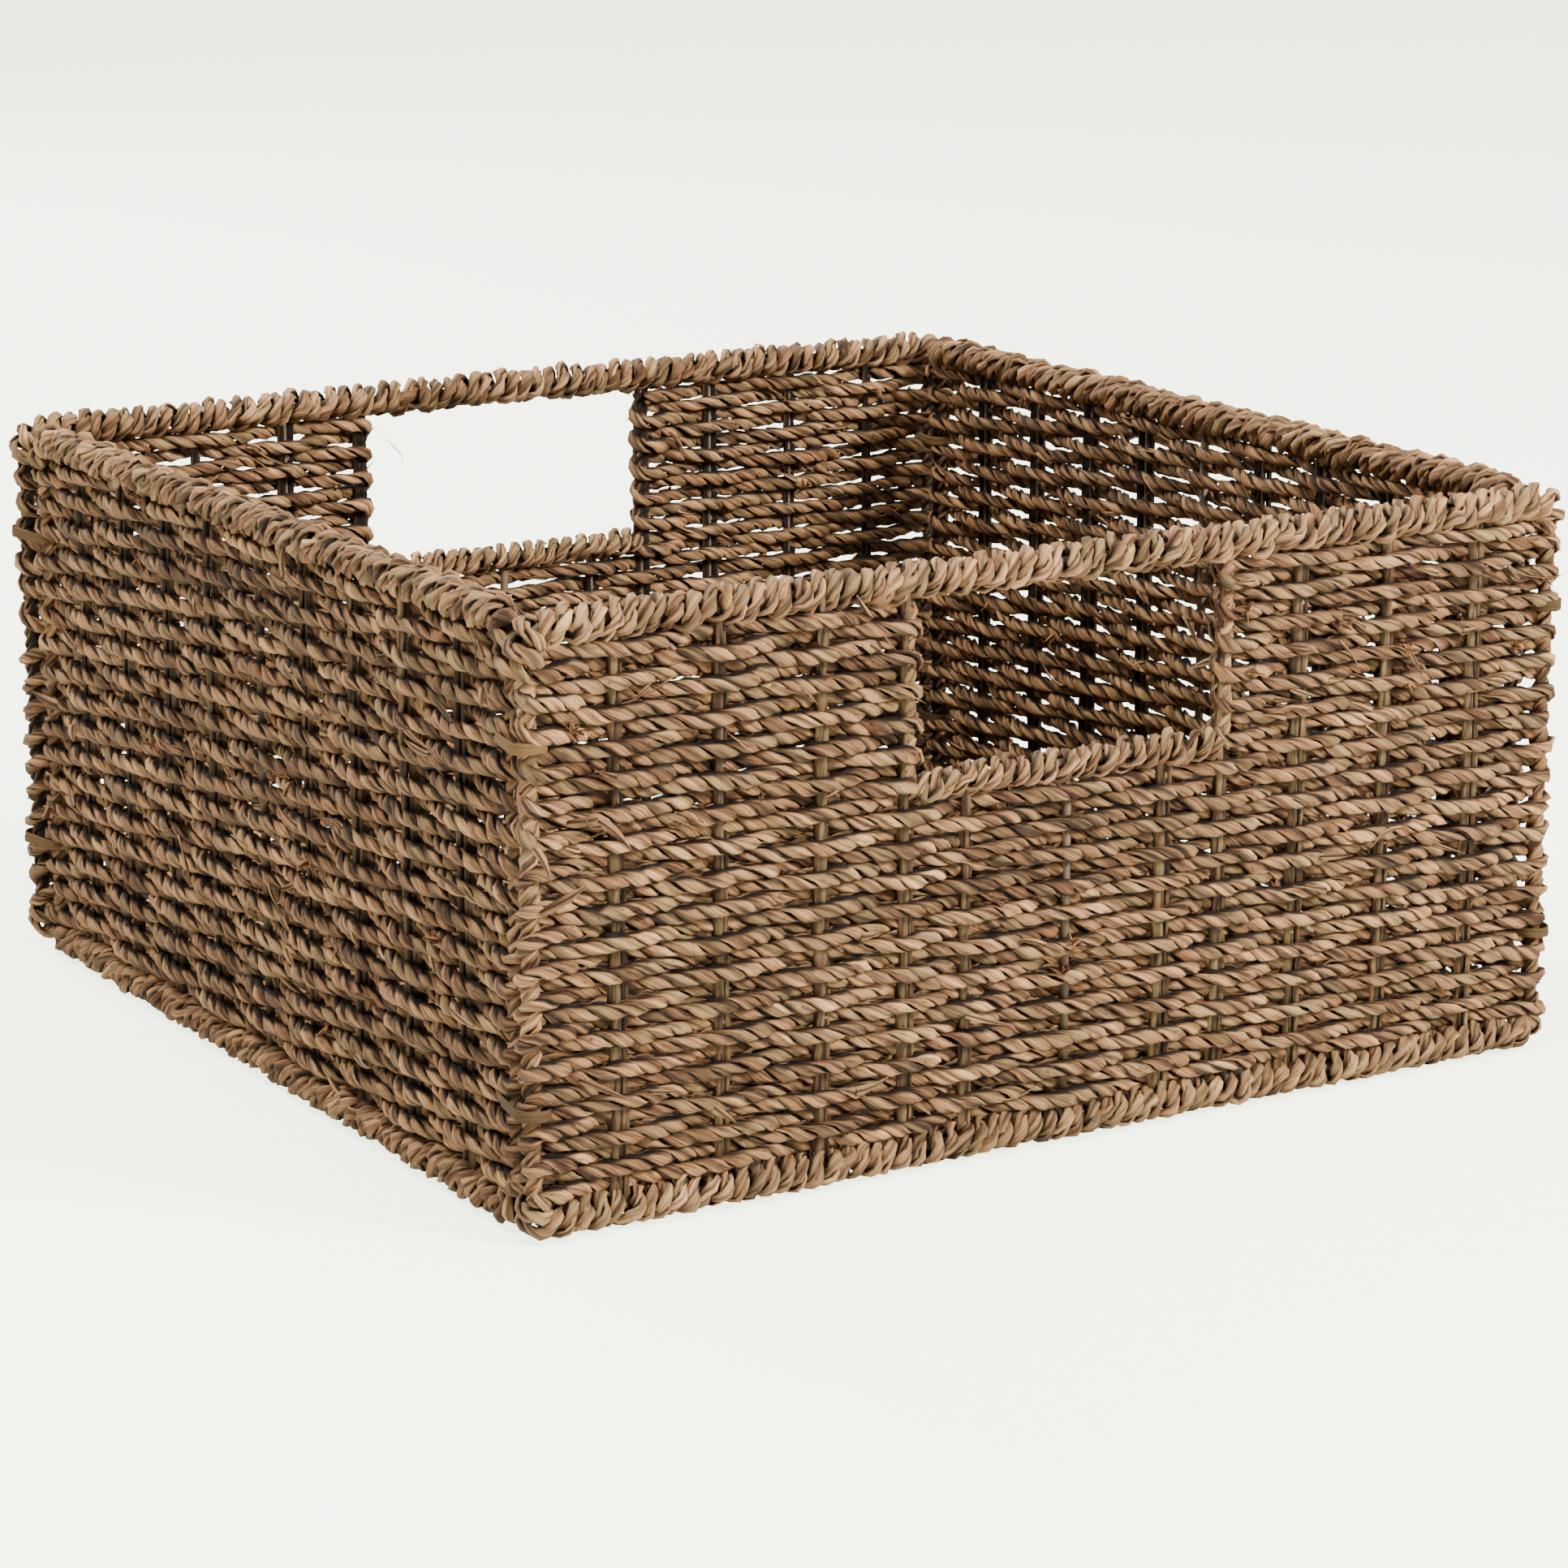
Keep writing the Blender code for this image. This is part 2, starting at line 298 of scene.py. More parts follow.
@dataclass(frozen=True)
class SeagrassFinish:
    """Dried seagrass: streaked blades that twist along the strand, with warm and green tints, and painted
    shade in fold valleys, along creases and in crevices.
    """

    name: str
    stops: tuple[tuple[float, Colour], ...]
    green: Colour = (0.370, 0.255, 0.112)
    green_dark: Colour = (0.070, 0.044, 0.016)
    rust: Colour = (0.450, 0.190, 0.060)
    rust_dark: Colour = (0.100, 0.036, 0.010)
    # Near-black colour for painted shade in crevices, along creases and in fold valleys.
    crevice: Colour = (0.010, 0.0034, 0.0008)
    # Light share over which the painted shade fades from the near-black colour to the seagrass colour.
    hollow: tuple[float, float] = (0.26, 0.74)
    green_amount: float = 0.65
    rust_amount: float = 0.75

    def build(self) -> bpy.types.Material:
        """Mix the finish.

        Returns:
            The material.
        """
        shader = Shader(self.name)
        along = shader.attribute("along")
        tone = shader.attribute("tone")
        lot = shader.attribute("lot")
        ridge = shader.attribute("ridge")
        painted_light_share = shader.attribute("painted_light_share")
        fold_x, fold_y = shader.attribute_pair("fold")
        fibre = shader.vector(fold_x + lot * 19.0, fold_y, along * 14.0)
        patch = shader.vector(fold_x * 0.4 + lot * 31.0, fold_y * 0.4, along * 30.0)
        streak = shader.noise(fibre, 4.5, 4.0, 0.65)
        fine = shader.noise(fibre, 14.0, 3.0, 0.6)
        blotch = shader.noise(patch, 1.7, 2.0)
        broad = shader.noise(shader.place(), 26.0, 2.0)
        # Painted shade: the ridge term lightens fold ridges and darkens fold valleys, on top of random
        # tone, streaks and blotches.
        level = (tone * 0.60 + streak * 1.30 + fine * 0.40 + blotch * 0.90 + broad * 0.45
                 + ridge * 0.70) - (0.30 + 0.65 + 0.20 + 0.45 + 0.225 + 0.63 - 0.54)
        colour = shader.ramp(level, self.stops)
        green = (shader.noise(patch, 0.8, 1.0) + (lot - 0.5) * 0.16).step(0.46, 0.60) * self.green_amount
        colour = shader.mix(green, colour, shader.mix(level, self.green_dark, self.green))
        rust = (shader.noise(patch, 2.6, 2.0) * 0.7 + streak * 0.3).step(0.585, 0.66) * self.rust_amount
        colour = shader.mix(rust, colour, shader.mix(level, self.rust_dark, self.rust))
        turn = fold_y.maths("ARCTAN2", fold_x)
        wave = (turn * 3.0 + blotch * 11.0 + along * 120.0).maths("SINE")
        # Painted shade along thin creases; the same pattern also drives the bump.
        crease_bump_and_shade = wave.maths("ABSOLUTE").step(0.0, 0.20)
        # Painted shade in fold valleys, where the ridge value is low.
        valley_shade = ridge.step(0.58, 0.92) * 0.80 + 0.20
        # Painted light share: where a ply turns towards other plies or rows, in fold valleys and along
        # creases, the colour is mixed towards the near-black painted shade.
        lit = painted_light_share.step(*self.hollow) * valley_shade * (crease_bump_and_shade * 0.55 + 0.45)
        colour = shader.mix(lit, self.crevice, colour)
        shader.feed("Base Color", colour)
        shader.feed("Roughness", (0.46 + fine * 0.30).clamped())
        shader.feed("Specular IOR Level", 0.30)
        shader.bump(crease_bump_and_shade * 0.30 + streak * 0.55 + fine * 0.30, 0.0012, 1.0)
        return shader.material


@dataclass(frozen=True)
class LeafFinish:
    """A flat olive leaf strip with ribs along its length."""

    name: str
    dark: Colour = (0.020, 0.013, 0.005)
    light: Colour = (0.125, 0.070, 0.024)
    pale: Colour = (0.230, 0.138, 0.052)

    def build(self) -> bpy.types.Material:
        """Mix the finish.

        Returns:
            The material.
        """
        shader = Shader(self.name)
        along = shader.attribute("along")
        around = shader.attribute("around")
        tone = shader.attribute("tone")
        ribs = shader.noise(shader.vector(around * 2.0, tone * 7.0, along * 8.0), 5.0, 3.0)
        colour = shader.ramp((ribs * 0.8 + tone * 0.4 - 0.15).clamped(),
                             ((0.1, self.dark), (0.55, self.light), (0.9, self.pale)))
        shader.feed("Base Color", colour)
        shader.feed("Roughness", (0.50 + ribs * 0.3).clamped())
        shader.feed("Specular IOR Level", 0.2)
        shader.bump(ribs, 0.0003, 0.8)
        return shader.material


@dataclass(frozen=True)
class WireFinish:
    """Coated steel wire, olive brown, with a little dust."""

    name: str
    coat: Colour = (0.070, 0.048, 0.024)
    dust: Colour = (0.150, 0.098, 0.050)

    def build(self) -> bpy.types.Material:
        """Mix the finish.

        Returns:
            The material.
        """
        shader = Shader(self.name)
        where = shader.place()
        cloud = shader.noise(where, 180.0, 3.0)
        grain = shader.noise(where, 1500.0, 2.0)
        shader.feed("Base Color", shader.mix(cloud.step(0.35, 0.75), self.coat, self.dust))
        shader.feed("Roughness", (0.50 + grain * 0.25).clamped())
        shader.bump(grain, 0.00005, 0.5)
        return shader.material


# Strands


@dataclass
class Strand:
    """One round strand: a line of points with a radius at each, and its look along the way."""

    points: Array
    radii: Array
    tone: float | Array
    outward: Array | None = None
    lot: float = 0.0
    row: Array | None = None


def wander(length: Array, rng: np.random.Generator, spacing: float, amount: float) -> Array:
    """Return a value that drifts from one random knot to the next."""
    knots = np.cumsum(rng.uniform(0.5, 1.5, int(length[-1] / spacing * 2) + 4)) * spacing - spacing
    return np.interp(length, knots, rng.normal(0.0, amount, len(knots)))


def wobble(length: Array, rng: np.random.Generator, period: float, amount: float) -> Array:
    """Return a smooth seeded wander along a length.

    Args:
        length: Distance along the strand.
        rng: Seeded generator.
        period: Typical wavelength.
        amount: Typical size.

    Returns:
        One offset for each distance.
    """
    total = np.zeros_like(length)
    for scale, weight in ((1.0, 0.6), (0.53, 0.4), (0.29, 0.25)):
        total += weight * np.sin(TAU * length / (period * scale) * rng.uniform(0.8, 1.2)
                                 + rng.uniform(0.0, TAU))
    return amount * total


def unit(vectors: Array) -> Array:
    """Return vectors scaled to length 1."""
    return vectors / np.maximum(np.linalg.norm(vectors, axis=1, keepdims=True), 1e-12)


def resampled(points: Array, step: float) -> tuple[Array, Array]:
    """Spread points evenly along a line.

    Args:
        points: The line's points.
        step: Wanted spacing.

    Returns:
        The new points and their distance along the line.
    """
    reach = distances(points)
    count = max(4, int(round(reach[-1] / step)) + 1)
    length = np.linspace(0.0, reach[-1], count)
    spread = np.stack([np.interp(length, reach, points[:, i]) for i in range(3)], axis=1)
    return spread, length


@dataclass
class Lay:
    """How plies are laid into a rope."""

    ply_radius: float
    spread: float
    lay: float
    plies: int = 2
    flat: float = 1.0
    uneven: float = 0.10
    step: float = 0.0021
    phase: float | None = None
    bulge: float = 0.42

    def spin(self, points: Array, aside: Array | None, rng: np.random.Generator) -> list[Strand]:
        """Lay plies round a line.

        Args:
            points: The rope's centre line.
            aside: A direction away from the surface at each point, or None for level rows.
            rng: Seeded generator.

        Returns:
            One strand for each ply.
        """
        centre, length = resampled(points, self.step)
        along = unit(np.gradient(centre, axis=0))
        if aside is None:
            normal = unit(np.cross(along, np.array([0.0, 0.0, 1.0])))
        else:
            share = np.linspace(0.0, 1.0, len(points))
            at = np.linspace(0.0, 1.0, len(centre))
            normal = unit(np.stack([np.interp(at, share, aside[:, i]) for i in range(3)], axis=1))
        across = np.cross(normal, along)
        start = rng.uniform(0.0, TAU) if self.phase is None else self.phase
        drift = wobble(length, rng, self.lay * 4.5, 0.35)
        size = 1.0 + wobble(length, rng, self.lay * 3.1, self.uneven * 0.6) + rng.normal(0.0, 0.04)
        shade = 0.5 + wander(length, rng, 0.060, 0.17)
        made = []
        for ply in range(self.plies):
            angle = (TAU * length / self.lay + drift) + start + TAU * ply / self.plies
            out = np.cos(angle)[:, None] * across + self.flat * np.sin(angle)[:, None] * normal
            swell = 1.0 + wobble(length, rng, self.lay * 0.8, self.uneven)
            swell += self.bulge * (np.sin(angle) ** 2 - 0.5)
            place = centre + out * (self.spread * size)[:, None]
            radii = self.ply_radius * np.clip(size * swell, 0.5, 1.55)
            outward = unit(out if aside is None else out * 0.6 + normal * 0.8)
            tone = np.clip(shade + wander(length, rng, 0.020, 0.21), 0.0, 1.0)
            row = centre[:, 2] if aside is None else None
            made.append(Strand(place, radii, tone, outward, float(rng.uniform()), row))
        return made


PLAIN_FOLDS = (1.08, 0.95, 0.74, 1.05, 0.76, 1.04, 0.96, 0.72)
BASE_FOLDS = (1.06, 0.78, 1.04, 0.80, 1.05, 0.76)
TIP_FOLDS = (1.5, 0.45, 1.5, 0.40)


@dataclass(frozen=True)
class Crumple:
    """How a strand's section is pressed flat and wrinkled."""

    wide: float = 1.22
    thin: float = 0.84
    depth: float = 0.145
    spacing: float = 0.0062

    def shares(self, length: Array, sides: int, rng: np.random.Generator) -> Array:
        """Return a radius share for each point of each ring.

        Args:
            length: Distance of each ring along the strand.
            sides: Points in a ring.
            rng: Seeded generator.

        Returns:
            Shares around 1.
        """
        at = length / self.spacing + rng.uniform()
        low = np.floor(at).astype(int)
        share = (at - low)[:, None]
        share = share * share * (3.0 - 2.0 * share)
        rough = np.clip(rng.normal(0.0, self.depth, (low[-1] + 2, sides)),
                        -2.2 * self.depth, 1.5 * self.depth)
        return 1.0 + rough[low] * (1.0 - share) + rough[low + 1] * share

    def press(self, away: Array, outward: Array) -> Array:
        """Return rings pressed flat against their rope."""
        rise = np.einsum("ijk,ik->ij", away, outward)[:, :, None] * outward[:, None, :]
        return (away - rise) * self.wide + rise * self.thin


def folded_profile(folds: Sequence[float]) -> bpy.types.Object:
    """Return a closed profile whose radius rises and falls like folded leaf blades.

    Args:
        folds: Radius of each point.

    Returns:
        The profile.
    """
    curve = bpy.data.curves.new("fold_profile", "CURVE")
    curve.dimensions = "2D"
    spline = curve.splines.new("POLY")
    spline.points.add(len(folds) - 1)
    for index, (point, radius) in enumerate(zip(spline.points, folds)):
        angle = -TAU * index / len(folds)
        point.co = (radius * math.cos(angle), radius * math.sin(angle), 0.0, 1.0)
    spline.use_cyclic_u = True
    profile = bpy.data.objects.new("fold_profile", curve)
    bpy.context.scene.collection.objects.link(profile)
    return profile


def build_strands(name: str, strands: Sequence[Strand], folds: Sequence[float], place: Matrix,
                  blade_twist: float = 190.0, crumple: Crumple = Crumple()) -> bpy.types.Object:
    """Make one mesh piece of many strands.

    Args:
        name: The piece's name.
        strands: Its strands.
        folds: Radius of each point of a strand's section, as a share of its own radius.
        place: Matrix from the strands' frame to the room.
        blade_twist: Turn of the section for each metre.
        crumple: How the section is pressed and wrinkled.

    Returns:
        The piece, at the origin.
    """
    profile = folded_profile(folds)
    curve = bpy.data.curves.new(name, "CURVE")
    curve.dimensions = "3D"
    curve.bevel_mode = "OBJECT"
    curve.bevel_object = profile
    curve.use_fill_caps = True
    for index, strand in enumerate(strands):
        spline = add_line(curve, strand.points, strand.radii)
        turn = blade_twist * distances(strand.points) + index * 1.7
        spline.points.foreach_set("tilt", turn.astype(np.float32))
    mesh = mesh_of(curve, name)
    section = profile.data
    bpy.data.objects.remove(profile, do_unlink=True)
    bpy.data.curves.remove(section)
    mark_strands(mesh, strands, folds, crumple)
    return finished_piece(name, mesh, place)


def add_line(curve: bpy.types.Curve, points: Array, radii: Array | None = None,
             closed: bool = False) -> bpy.types.Spline:
    """Add one line to a curve.

    Args:
        curve: The curve.
        points: The line's points.
        radii: Radius at each point, or None for a strip.
        closed: True for a loop.

    Returns:
        The new line.
    """
    spline = curve.splines.new("POLY")
    spline.points.add(len(points) - 1)
    block = np.ones((len(points), 4), np.float32)
    block[:, :3] = points
    spline.points.foreach_set("co", block.ravel())
    if radii is not None:
        spline.points.foreach_set("radius", radii.astype(np.float32))
    spline.use_cyclic_u = closed
    return spline


def spots_of(mesh: bpy.types.Mesh) -> Array:
    """Return a mesh's points, one row each."""
    spots = np.empty(len(mesh.vertices) * 3, np.float32)
    mesh.vertices.foreach_get("co", spots)
    return spots.reshape(-1, 3)


def distances(points: Array) -> Array:
    """Return how far along its line each point lies."""
    gaps = np.linalg.norm(np.diff(points, axis=0), axis=1)
    return np.concatenate(([0.0], np.cumsum(gaps)))


def finished_piece(name: str, mesh: bpy.types.Mesh, place: Matrix) -> bpy.types.Object:
    """Put a mesh in its place, close it and add it to the scene.

    Args:
        name: The piece's name.
        mesh: Its mesh.
        place: Matrix from the mesh's frame to the room.

    Returns:
        The piece, at the origin.
    """
    mesh.transform(place)
    settle(mesh)
    close_caps(mesh)
    piece = bpy.data.objects.new(name, mesh)
    bpy.context.scene.collection.objects.link(piece)
    return piece


def mesh_of(curve: bpy.types.Curve, name: str) -> bpy.types.Mesh:
    """Turn a curve into a mesh and drop the curve.

    Args:
        curve: The curve data.
        name: The mesh's name.

    Returns:
        The mesh.
    """
    holder = bpy.data.objects.new(name + "_line", curve)
    bpy.context.scene.collection.objects.link(holder)
    graph = bpy.context.evaluated_depsgraph_get()
    mesh = bpy.data.meshes.new_from_object(holder.evaluated_get(graph))
    bpy.data.objects.remove(holder, do_unlink=True)
    bpy.data.curves.remove(curve)
    mesh.name = name
    return mesh


def mark_strands(mesh: bpy.types.Mesh, strands: Sequence[Strand], folds: Sequence[float],
                 crumple: Crumple) -> None:
    """Wrinkle the strands and store their length, fold, tone and painted light share on their points.

    Args:
        mesh: A mesh fresh from its curve: end caps first, last strand first, then the rings in order.
        strands: The strands it was made from.
        folds: Radius share of each point of a ring.
        crumple: How the rings are pressed and wrinkled.
    """
    sides = len(folds)
    spots = spots_of(mesh)
    rng = np.random.default_rng(len(strands) * 7 + 3)
    angles = np.arange(sides) * TAU / sides
    section = np.column_stack([np.cos(angles), np.sin(angles), 0 * angles])
    first = 2 * sides * len(strands)
    bodies = []
    for strand in strands:
        count = len(strand.points)
        rings = spots[first:first + count * sides].reshape(count, sides, 3)
        first += count * sides
        length = distances(strand.points)
        share = crumple.shares(length, sides, rng)
        away = (rings - strand.points[:, None, :]) * share[:, :, None]
        # Painted shade: the light share falls on the side of a ply turned towards the rope's middle and,
        # for wall rows, near each row's top and bottom, where the neighbouring rows shade it.
        lit_share = np.ones((count, sides))
        if strand.outward is not None:
            reach = np.maximum(np.linalg.norm(away, axis=2), 1e-9)
            lit_share = 0.5 + 0.5 * np.einsum("ijk,ik->ij", away, strand.outward) / reach
            away = crumple.press(away, strand.outward)
        # Painted shade between wall rows: darker towards each row's top and bottom edge.
        if strand.row is not None:
            stray = np.abs(strand.points[:, None, 2] + away[:, :, 2] - strand.row[:, None])
            row_shade = np.clip((stray - 0.0014) / 0.0011, 0.0, 1.0)
            lit_share = lit_share * (1.0 - 0.80 * row_shade * row_shade)
        tone = np.broadcast_to(strand.tone, (count,))
        bodies.append({"place": (strand.points[:, None, :] + away).reshape(-1, 3),
                       "along": np.repeat(length + strand.lot * 3.0, sides),
                       "fold": np.tile(section, (count, 1)),
                       "ridge": (share * np.asarray(folds)[None, :]).ravel(),
                       "tone": np.repeat(tone, sides),
                       "lot": np.full(count * sides, strand.lot),
                       "painted_light_share": lit_share.ravel()})
    rows: dict[str, list[Array]] = {key: [] for key in bodies[0]}
    for body in reversed(bodies):
        for key in rows:
            rows[key] += [body[key][-sides:], body[key][:sides]]
    for body in bodies:
        for key in rows:
            rows[key].append(body[key])
    for key, parts in rows.items():
        values = np.concatenate(parts).astype(np.float32)
        if len(values) != len(mesh.vertices):
            raise ValueError(f"{mesh.name}: {len(values)} values for {len(mesh.vertices)} points")
        if key == "place":
            mesh.vertices.foreach_set("co", values.ravel())
        elif values.ndim == 2:
            stored = mesh.attributes.new(key, "FLOAT_VECTOR", "POINT")
            stored.data.foreach_set("vector", values.ravel())
        else:
            mesh.attributes.new(key, "FLOAT", "POINT").data.foreach_set("value", values)


def settle(mesh: bpy.types.Mesh) -> None:
    """Flatten whatever hangs under the floor's level.

    Args:
        mesh: The mesh, in the room.
    """
    spots = spots_of(mesh)
    low = CAD_BOX[0][2] + FLOOR_SKIN
    spots[:, 2] = np.where(spots[:, 2] < low, low + (spots[:, 2] - low) * FLOOR_GIVE, spots[:, 2])
    mesh.vertices.foreach_set("co", spots.ravel())


def close_caps(mesh: bpy.types.Mesh) -> None:
    """Join end caps to their strands, face everything outwards and shade it smooth.

    Args:
        mesh: The mesh.
    """
    work = bmesh.new()
    work.from_mesh(mesh)
    bmesh.ops.remove_doubles(work, verts=work.verts, dist=1e-7)
    bmesh.ops.recalc_face_normals(work, faces=work.faces)
    work.to_mesh(mesh)
    work.free()
    mesh.shade_smooth()


# Panels


@dataclass
class Panel:
    """A wire-framed woven panel in its own frame: X along the rows, Z across them, -Y outwards."""

    length: float
    height: float
    rim: float
    place: Matrix
    stakes: tuple[float, ...]
    seed: int
    short_stakes: tuple[float, ...] = ()
    handle: tuple[float, float] | None = None
    pitch: float = 0.00488
    reach: float = 0.0027
    side_inset: float = 0.0055
    step: float = 0.0023
    tie_heights: tuple[float, ...] = ()
    ends: tuple[float, float] | None = None
    wire_loop: tuple[float, float, float] | None = None
    rope: Lay = field(default_factory=lambda: Lay(ply_radius=0.00147, spread=0.00158, lay=0.0240,
                                                  plies=3, uneven=0.22, bulge=0.66))
    rng: np.random.Generator = field(init=False)

    def __post_init__(self) -> None:
        """Seed this panel's own random draws."""
        self.rng = np.random.default_rng(self.seed)
        self.rope.step = self.step

    @property
    def half(self) -> float:
        """Distance from the middle to a side wire."""
        return self.length / 2 - self.side_inset

    def levels(self) -> Array:
        """Return the height of every row."""
        low, high = self.ends or (2 * self.rim + 0.0020, self.height - 2 * self.rim - 0.0020)
        count = int(round((high - low) / self.pitch)) + 1
        return np.linspace(low, high, count)

    def row(self, index: int, level: float, stakes: Array, first: int, forward: bool) -> Array:
        """Return one row's line between two end stakes.

        Args:
            index: The row's number, which sets which side of a stake it passes.
            level: The row's height.
            stakes: Stake positions from left to right, ends included.
            first: Number of the leftmost stake in the whole panel.
            forward: True from left to right.

        Returns:
            The line's points.
        """
        pieces = []
        for k in range(len(stakes) - 1):
            share = np.linspace(0.0, 1.0, 14, endpoint=False)
            sign = 1.0 if (first + k + index) % 2 else -1.0
            x = stakes[k] + share * (stakes[k + 1] - stakes[k])
            pieces.append(np.stack([x, self.reach * sign * np.cos(math.pi * share)], axis=1))
        last = 1.0 if (first + len(stakes) - 1 + index) % 2 else -1.0
        pieces.append(np.array([[stakes[-1], self.reach * last]]))
        flat = np.concatenate(pieces)
        z = level + self.rng.normal(0.0, 0.00025) + wobble(flat[:, 0], self.rng, 0.09, 0.00060)
        z = z + wobble(flat[:, 0], self.rng, 0.021, 0.00032)
        z = z + self.tie_gap(flat[:, 0], level)
        line = np.column_stack([flat, z])
        return line if forward else line[::-1]

    def tie_gap(self, x: Array, level: float) -> Array:
        """Work out how far a row gives way to a lashing at the panel's ends.

        Args:
            x: Places along the row.
            level: The row's height.

        Returns:
            The push upwards at each place.
        """
        push = np.zeros_like(x)
        for height in self.tie_heights:
            away = level - height
            near = np.exp(-((self.half - np.abs(x)) / 0.012) ** 2) * math.exp(-(away / 0.009) ** 2)
            push += 0.0012 * near * (1.0 if away >= 0.0 else -1.0)
        return push

    def block(self, rows: Sequence[tuple[int, float]], stakes: Array, first: int) -> Array:
        """Return one rope's whole line, back and forth through a block of rows.

        Args:
            rows: Number and height of each row, in order.
            stakes: Stake positions, ends included.
            first: Number of the leftmost stake in the whole panel.

        Returns:
            The rope's points.
        """
        line: list[Array] = []
        for count, (index, level) in enumerate(rows):
            forward = count % 2 == 0
            part = self.row(index, level, stakes, first, forward)
            if line:
                line.append(self.bend(line[-1][-1], part[0], 1.0 if not forward else -1.0))
            line.append(part)
        return np.concatenate(line)

    def bend(self, start: Array, end: Array, outward: float) -> Array:
        """Return the half turn round an end stake.

        Args:
            start: Last point of the row before.
            end: First point of the row after.
            outward: +1 at the right end, -1 at the left.

        Returns:
            Points between the two.
        """
        share = np.linspace(0.0, 1.0, 9)[1:-1]
        angle = share * math.pi
        mid = (start[1] + end[1]) / 2
        x = start[0] + (end[0] - start[0]) * share + outward * 0.65 * self.reach * np.sin(angle)
        y = mid + (start[1] - mid) * np.cos(angle)
        z = start[2] + (end[2] - start[2]) * share
        return np.stack([x, y, z], axis=1)

    def weave(self) -> tuple[list[Strand], list[Strand]]:
        """Weave every row.

        Returns:
            The strands of the ropes below and above the hand opening's level.
        """
        ends = (-self.half, self.half)
        full = np.array(sorted((ends[0], *self.stakes, *self.short_stakes, ends[1])))
        rows = list(enumerate(self.levels()))
        split = self.handle[1] if self.handle else rows[len(rows) // 2][1]
        low_rows = [row for row in rows if row[1] < split]
        high_rows = [row for row in rows if row[1] >= split]
        lower = self.ropes(low_rows, full, 0)
        if self.handle is None:
            return lower, self.ropes(high_rows, full, 0)
        left = full[full < -self.handle[0]]
        right = full[full > self.handle[0]]
        upper = self.ropes(high_rows, left, 0) + self.ropes(high_rows, right, len(full) - len(right))
        return lower, upper

    def ropes(self, rows: Sequence[tuple[int, float]], stakes: Array, first: int) -> list[Strand]:
        """Return the strands of one block."""
        return self.rope.spin(self.block(rows, stakes, first), None, self.rng)

    def stake_tops(self) -> list[tuple[float, float]]:
        """Return each stake's place and the height of its top."""
        top = self.height - self.rim
        tall = [(x, top) for x in self.stakes]
        return tall + [(x, self.handle[1] + 0.004 if self.handle else top) for x in self.short_stakes]

    def climb(self, rope: Lay, x: float, start: float, end: float, count: int) -> list[Strand]:
        """Return the strands of an upright rope."""
        line = np.column_stack([np.full(count, x), np.zeros(count), np.linspace(start, end, count)])
        return rope.spin(line, np.tile(OUTWARDS, (count, 1)), self.rng)

    def cords(self) -> list[Strand]:
        """Return the cords that cover the stakes.

        Returns:
            Two strands for each stake but the bare middle one.
        """
        cover = Lay(ply_radius=0.00142, spread=0.00190, lay=1.6, uneven=0.12, step=0.003, bulge=0.0)
        made = []
        for x, top in self.stake_tops():
            if abs(x) < 1e-6:
                continue
            cover.phase = self.rng.uniform(-0.3, 0.3)
            made += self.climb(cover, x, self.rim, top, 40)
        return made

    def edge_ropes(self) -> list[Strand]:
        """Return the ropes that climb the side wires under the row ends.

        Returns:
            Three strands for each rope.
        """
        edge = Lay(ply_radius=0.0014, spread=0.0019, lay=0.0130, plies=3, uneven=0.16)
        low, high = 2.2 * self.rim, self.height - 2.2 * self.rim
        runs = [(-self.half, low), (self.half, low)]
        if self.handle is not None:
            beside = min(x for x in self.stakes if x > 0.0)
            runs += [(-beside, self.handle[1] + 0.003), (beside, self.handle[1] + 0.003)]
        made = []
        for x, start in runs:
            made += self.climb(edge, x, start, high, 60)
        return made

    def wire_frame(self, name: str) -> bpy.types.Object:
        """Build the welded wire loop with its stakes.

        Args:
            name: The piece's name.

        Returns:
            The wires as one piece.
        """
        half, low, high = self.wire_loop or (self.half, self.rim, self.height - self.rim)
        loop = rim_axis(half, high, -0.02, WIRE_CORNER)
        under = rim_axis(half, low, 0.02, WIRE_CORNER)[::-1]
        runs = [(np.concatenate([loop, under]), WIRE_RADIUS, True)]
        for x, top in self.stake_tops():
            radius = WIRE_RADIUS if abs(x) < 1e-6 else COVERED_WIRE_RADIUS
            end = max(top, high) if self.wire_loop else top
            runs.append((np.array([[x, 0.0, low], [x, 0.0, end]]), radius, False))
        if self.handle is not None:
            reach = min(x for x in self.stakes if x > 0.0)
            level = self.handle[1] + 0.005
            runs.append((np.array([[-reach, 0.0, level], [reach, 0.0, level]]), WIRE_RADIUS, False))
        curve = bpy.data.curves.new(name, "CURVE")
        curve.dimensions = "3D"
        curve.bevel_depth = 1.0
        curve.bevel_resolution = 2
        curve.use_fill_caps = True
        for points, radius, closed in runs:
            add_line(curve, points, np.full(len(points), radius), closed)
        return finished_piece(name, mesh_of(curve, name), self.place)


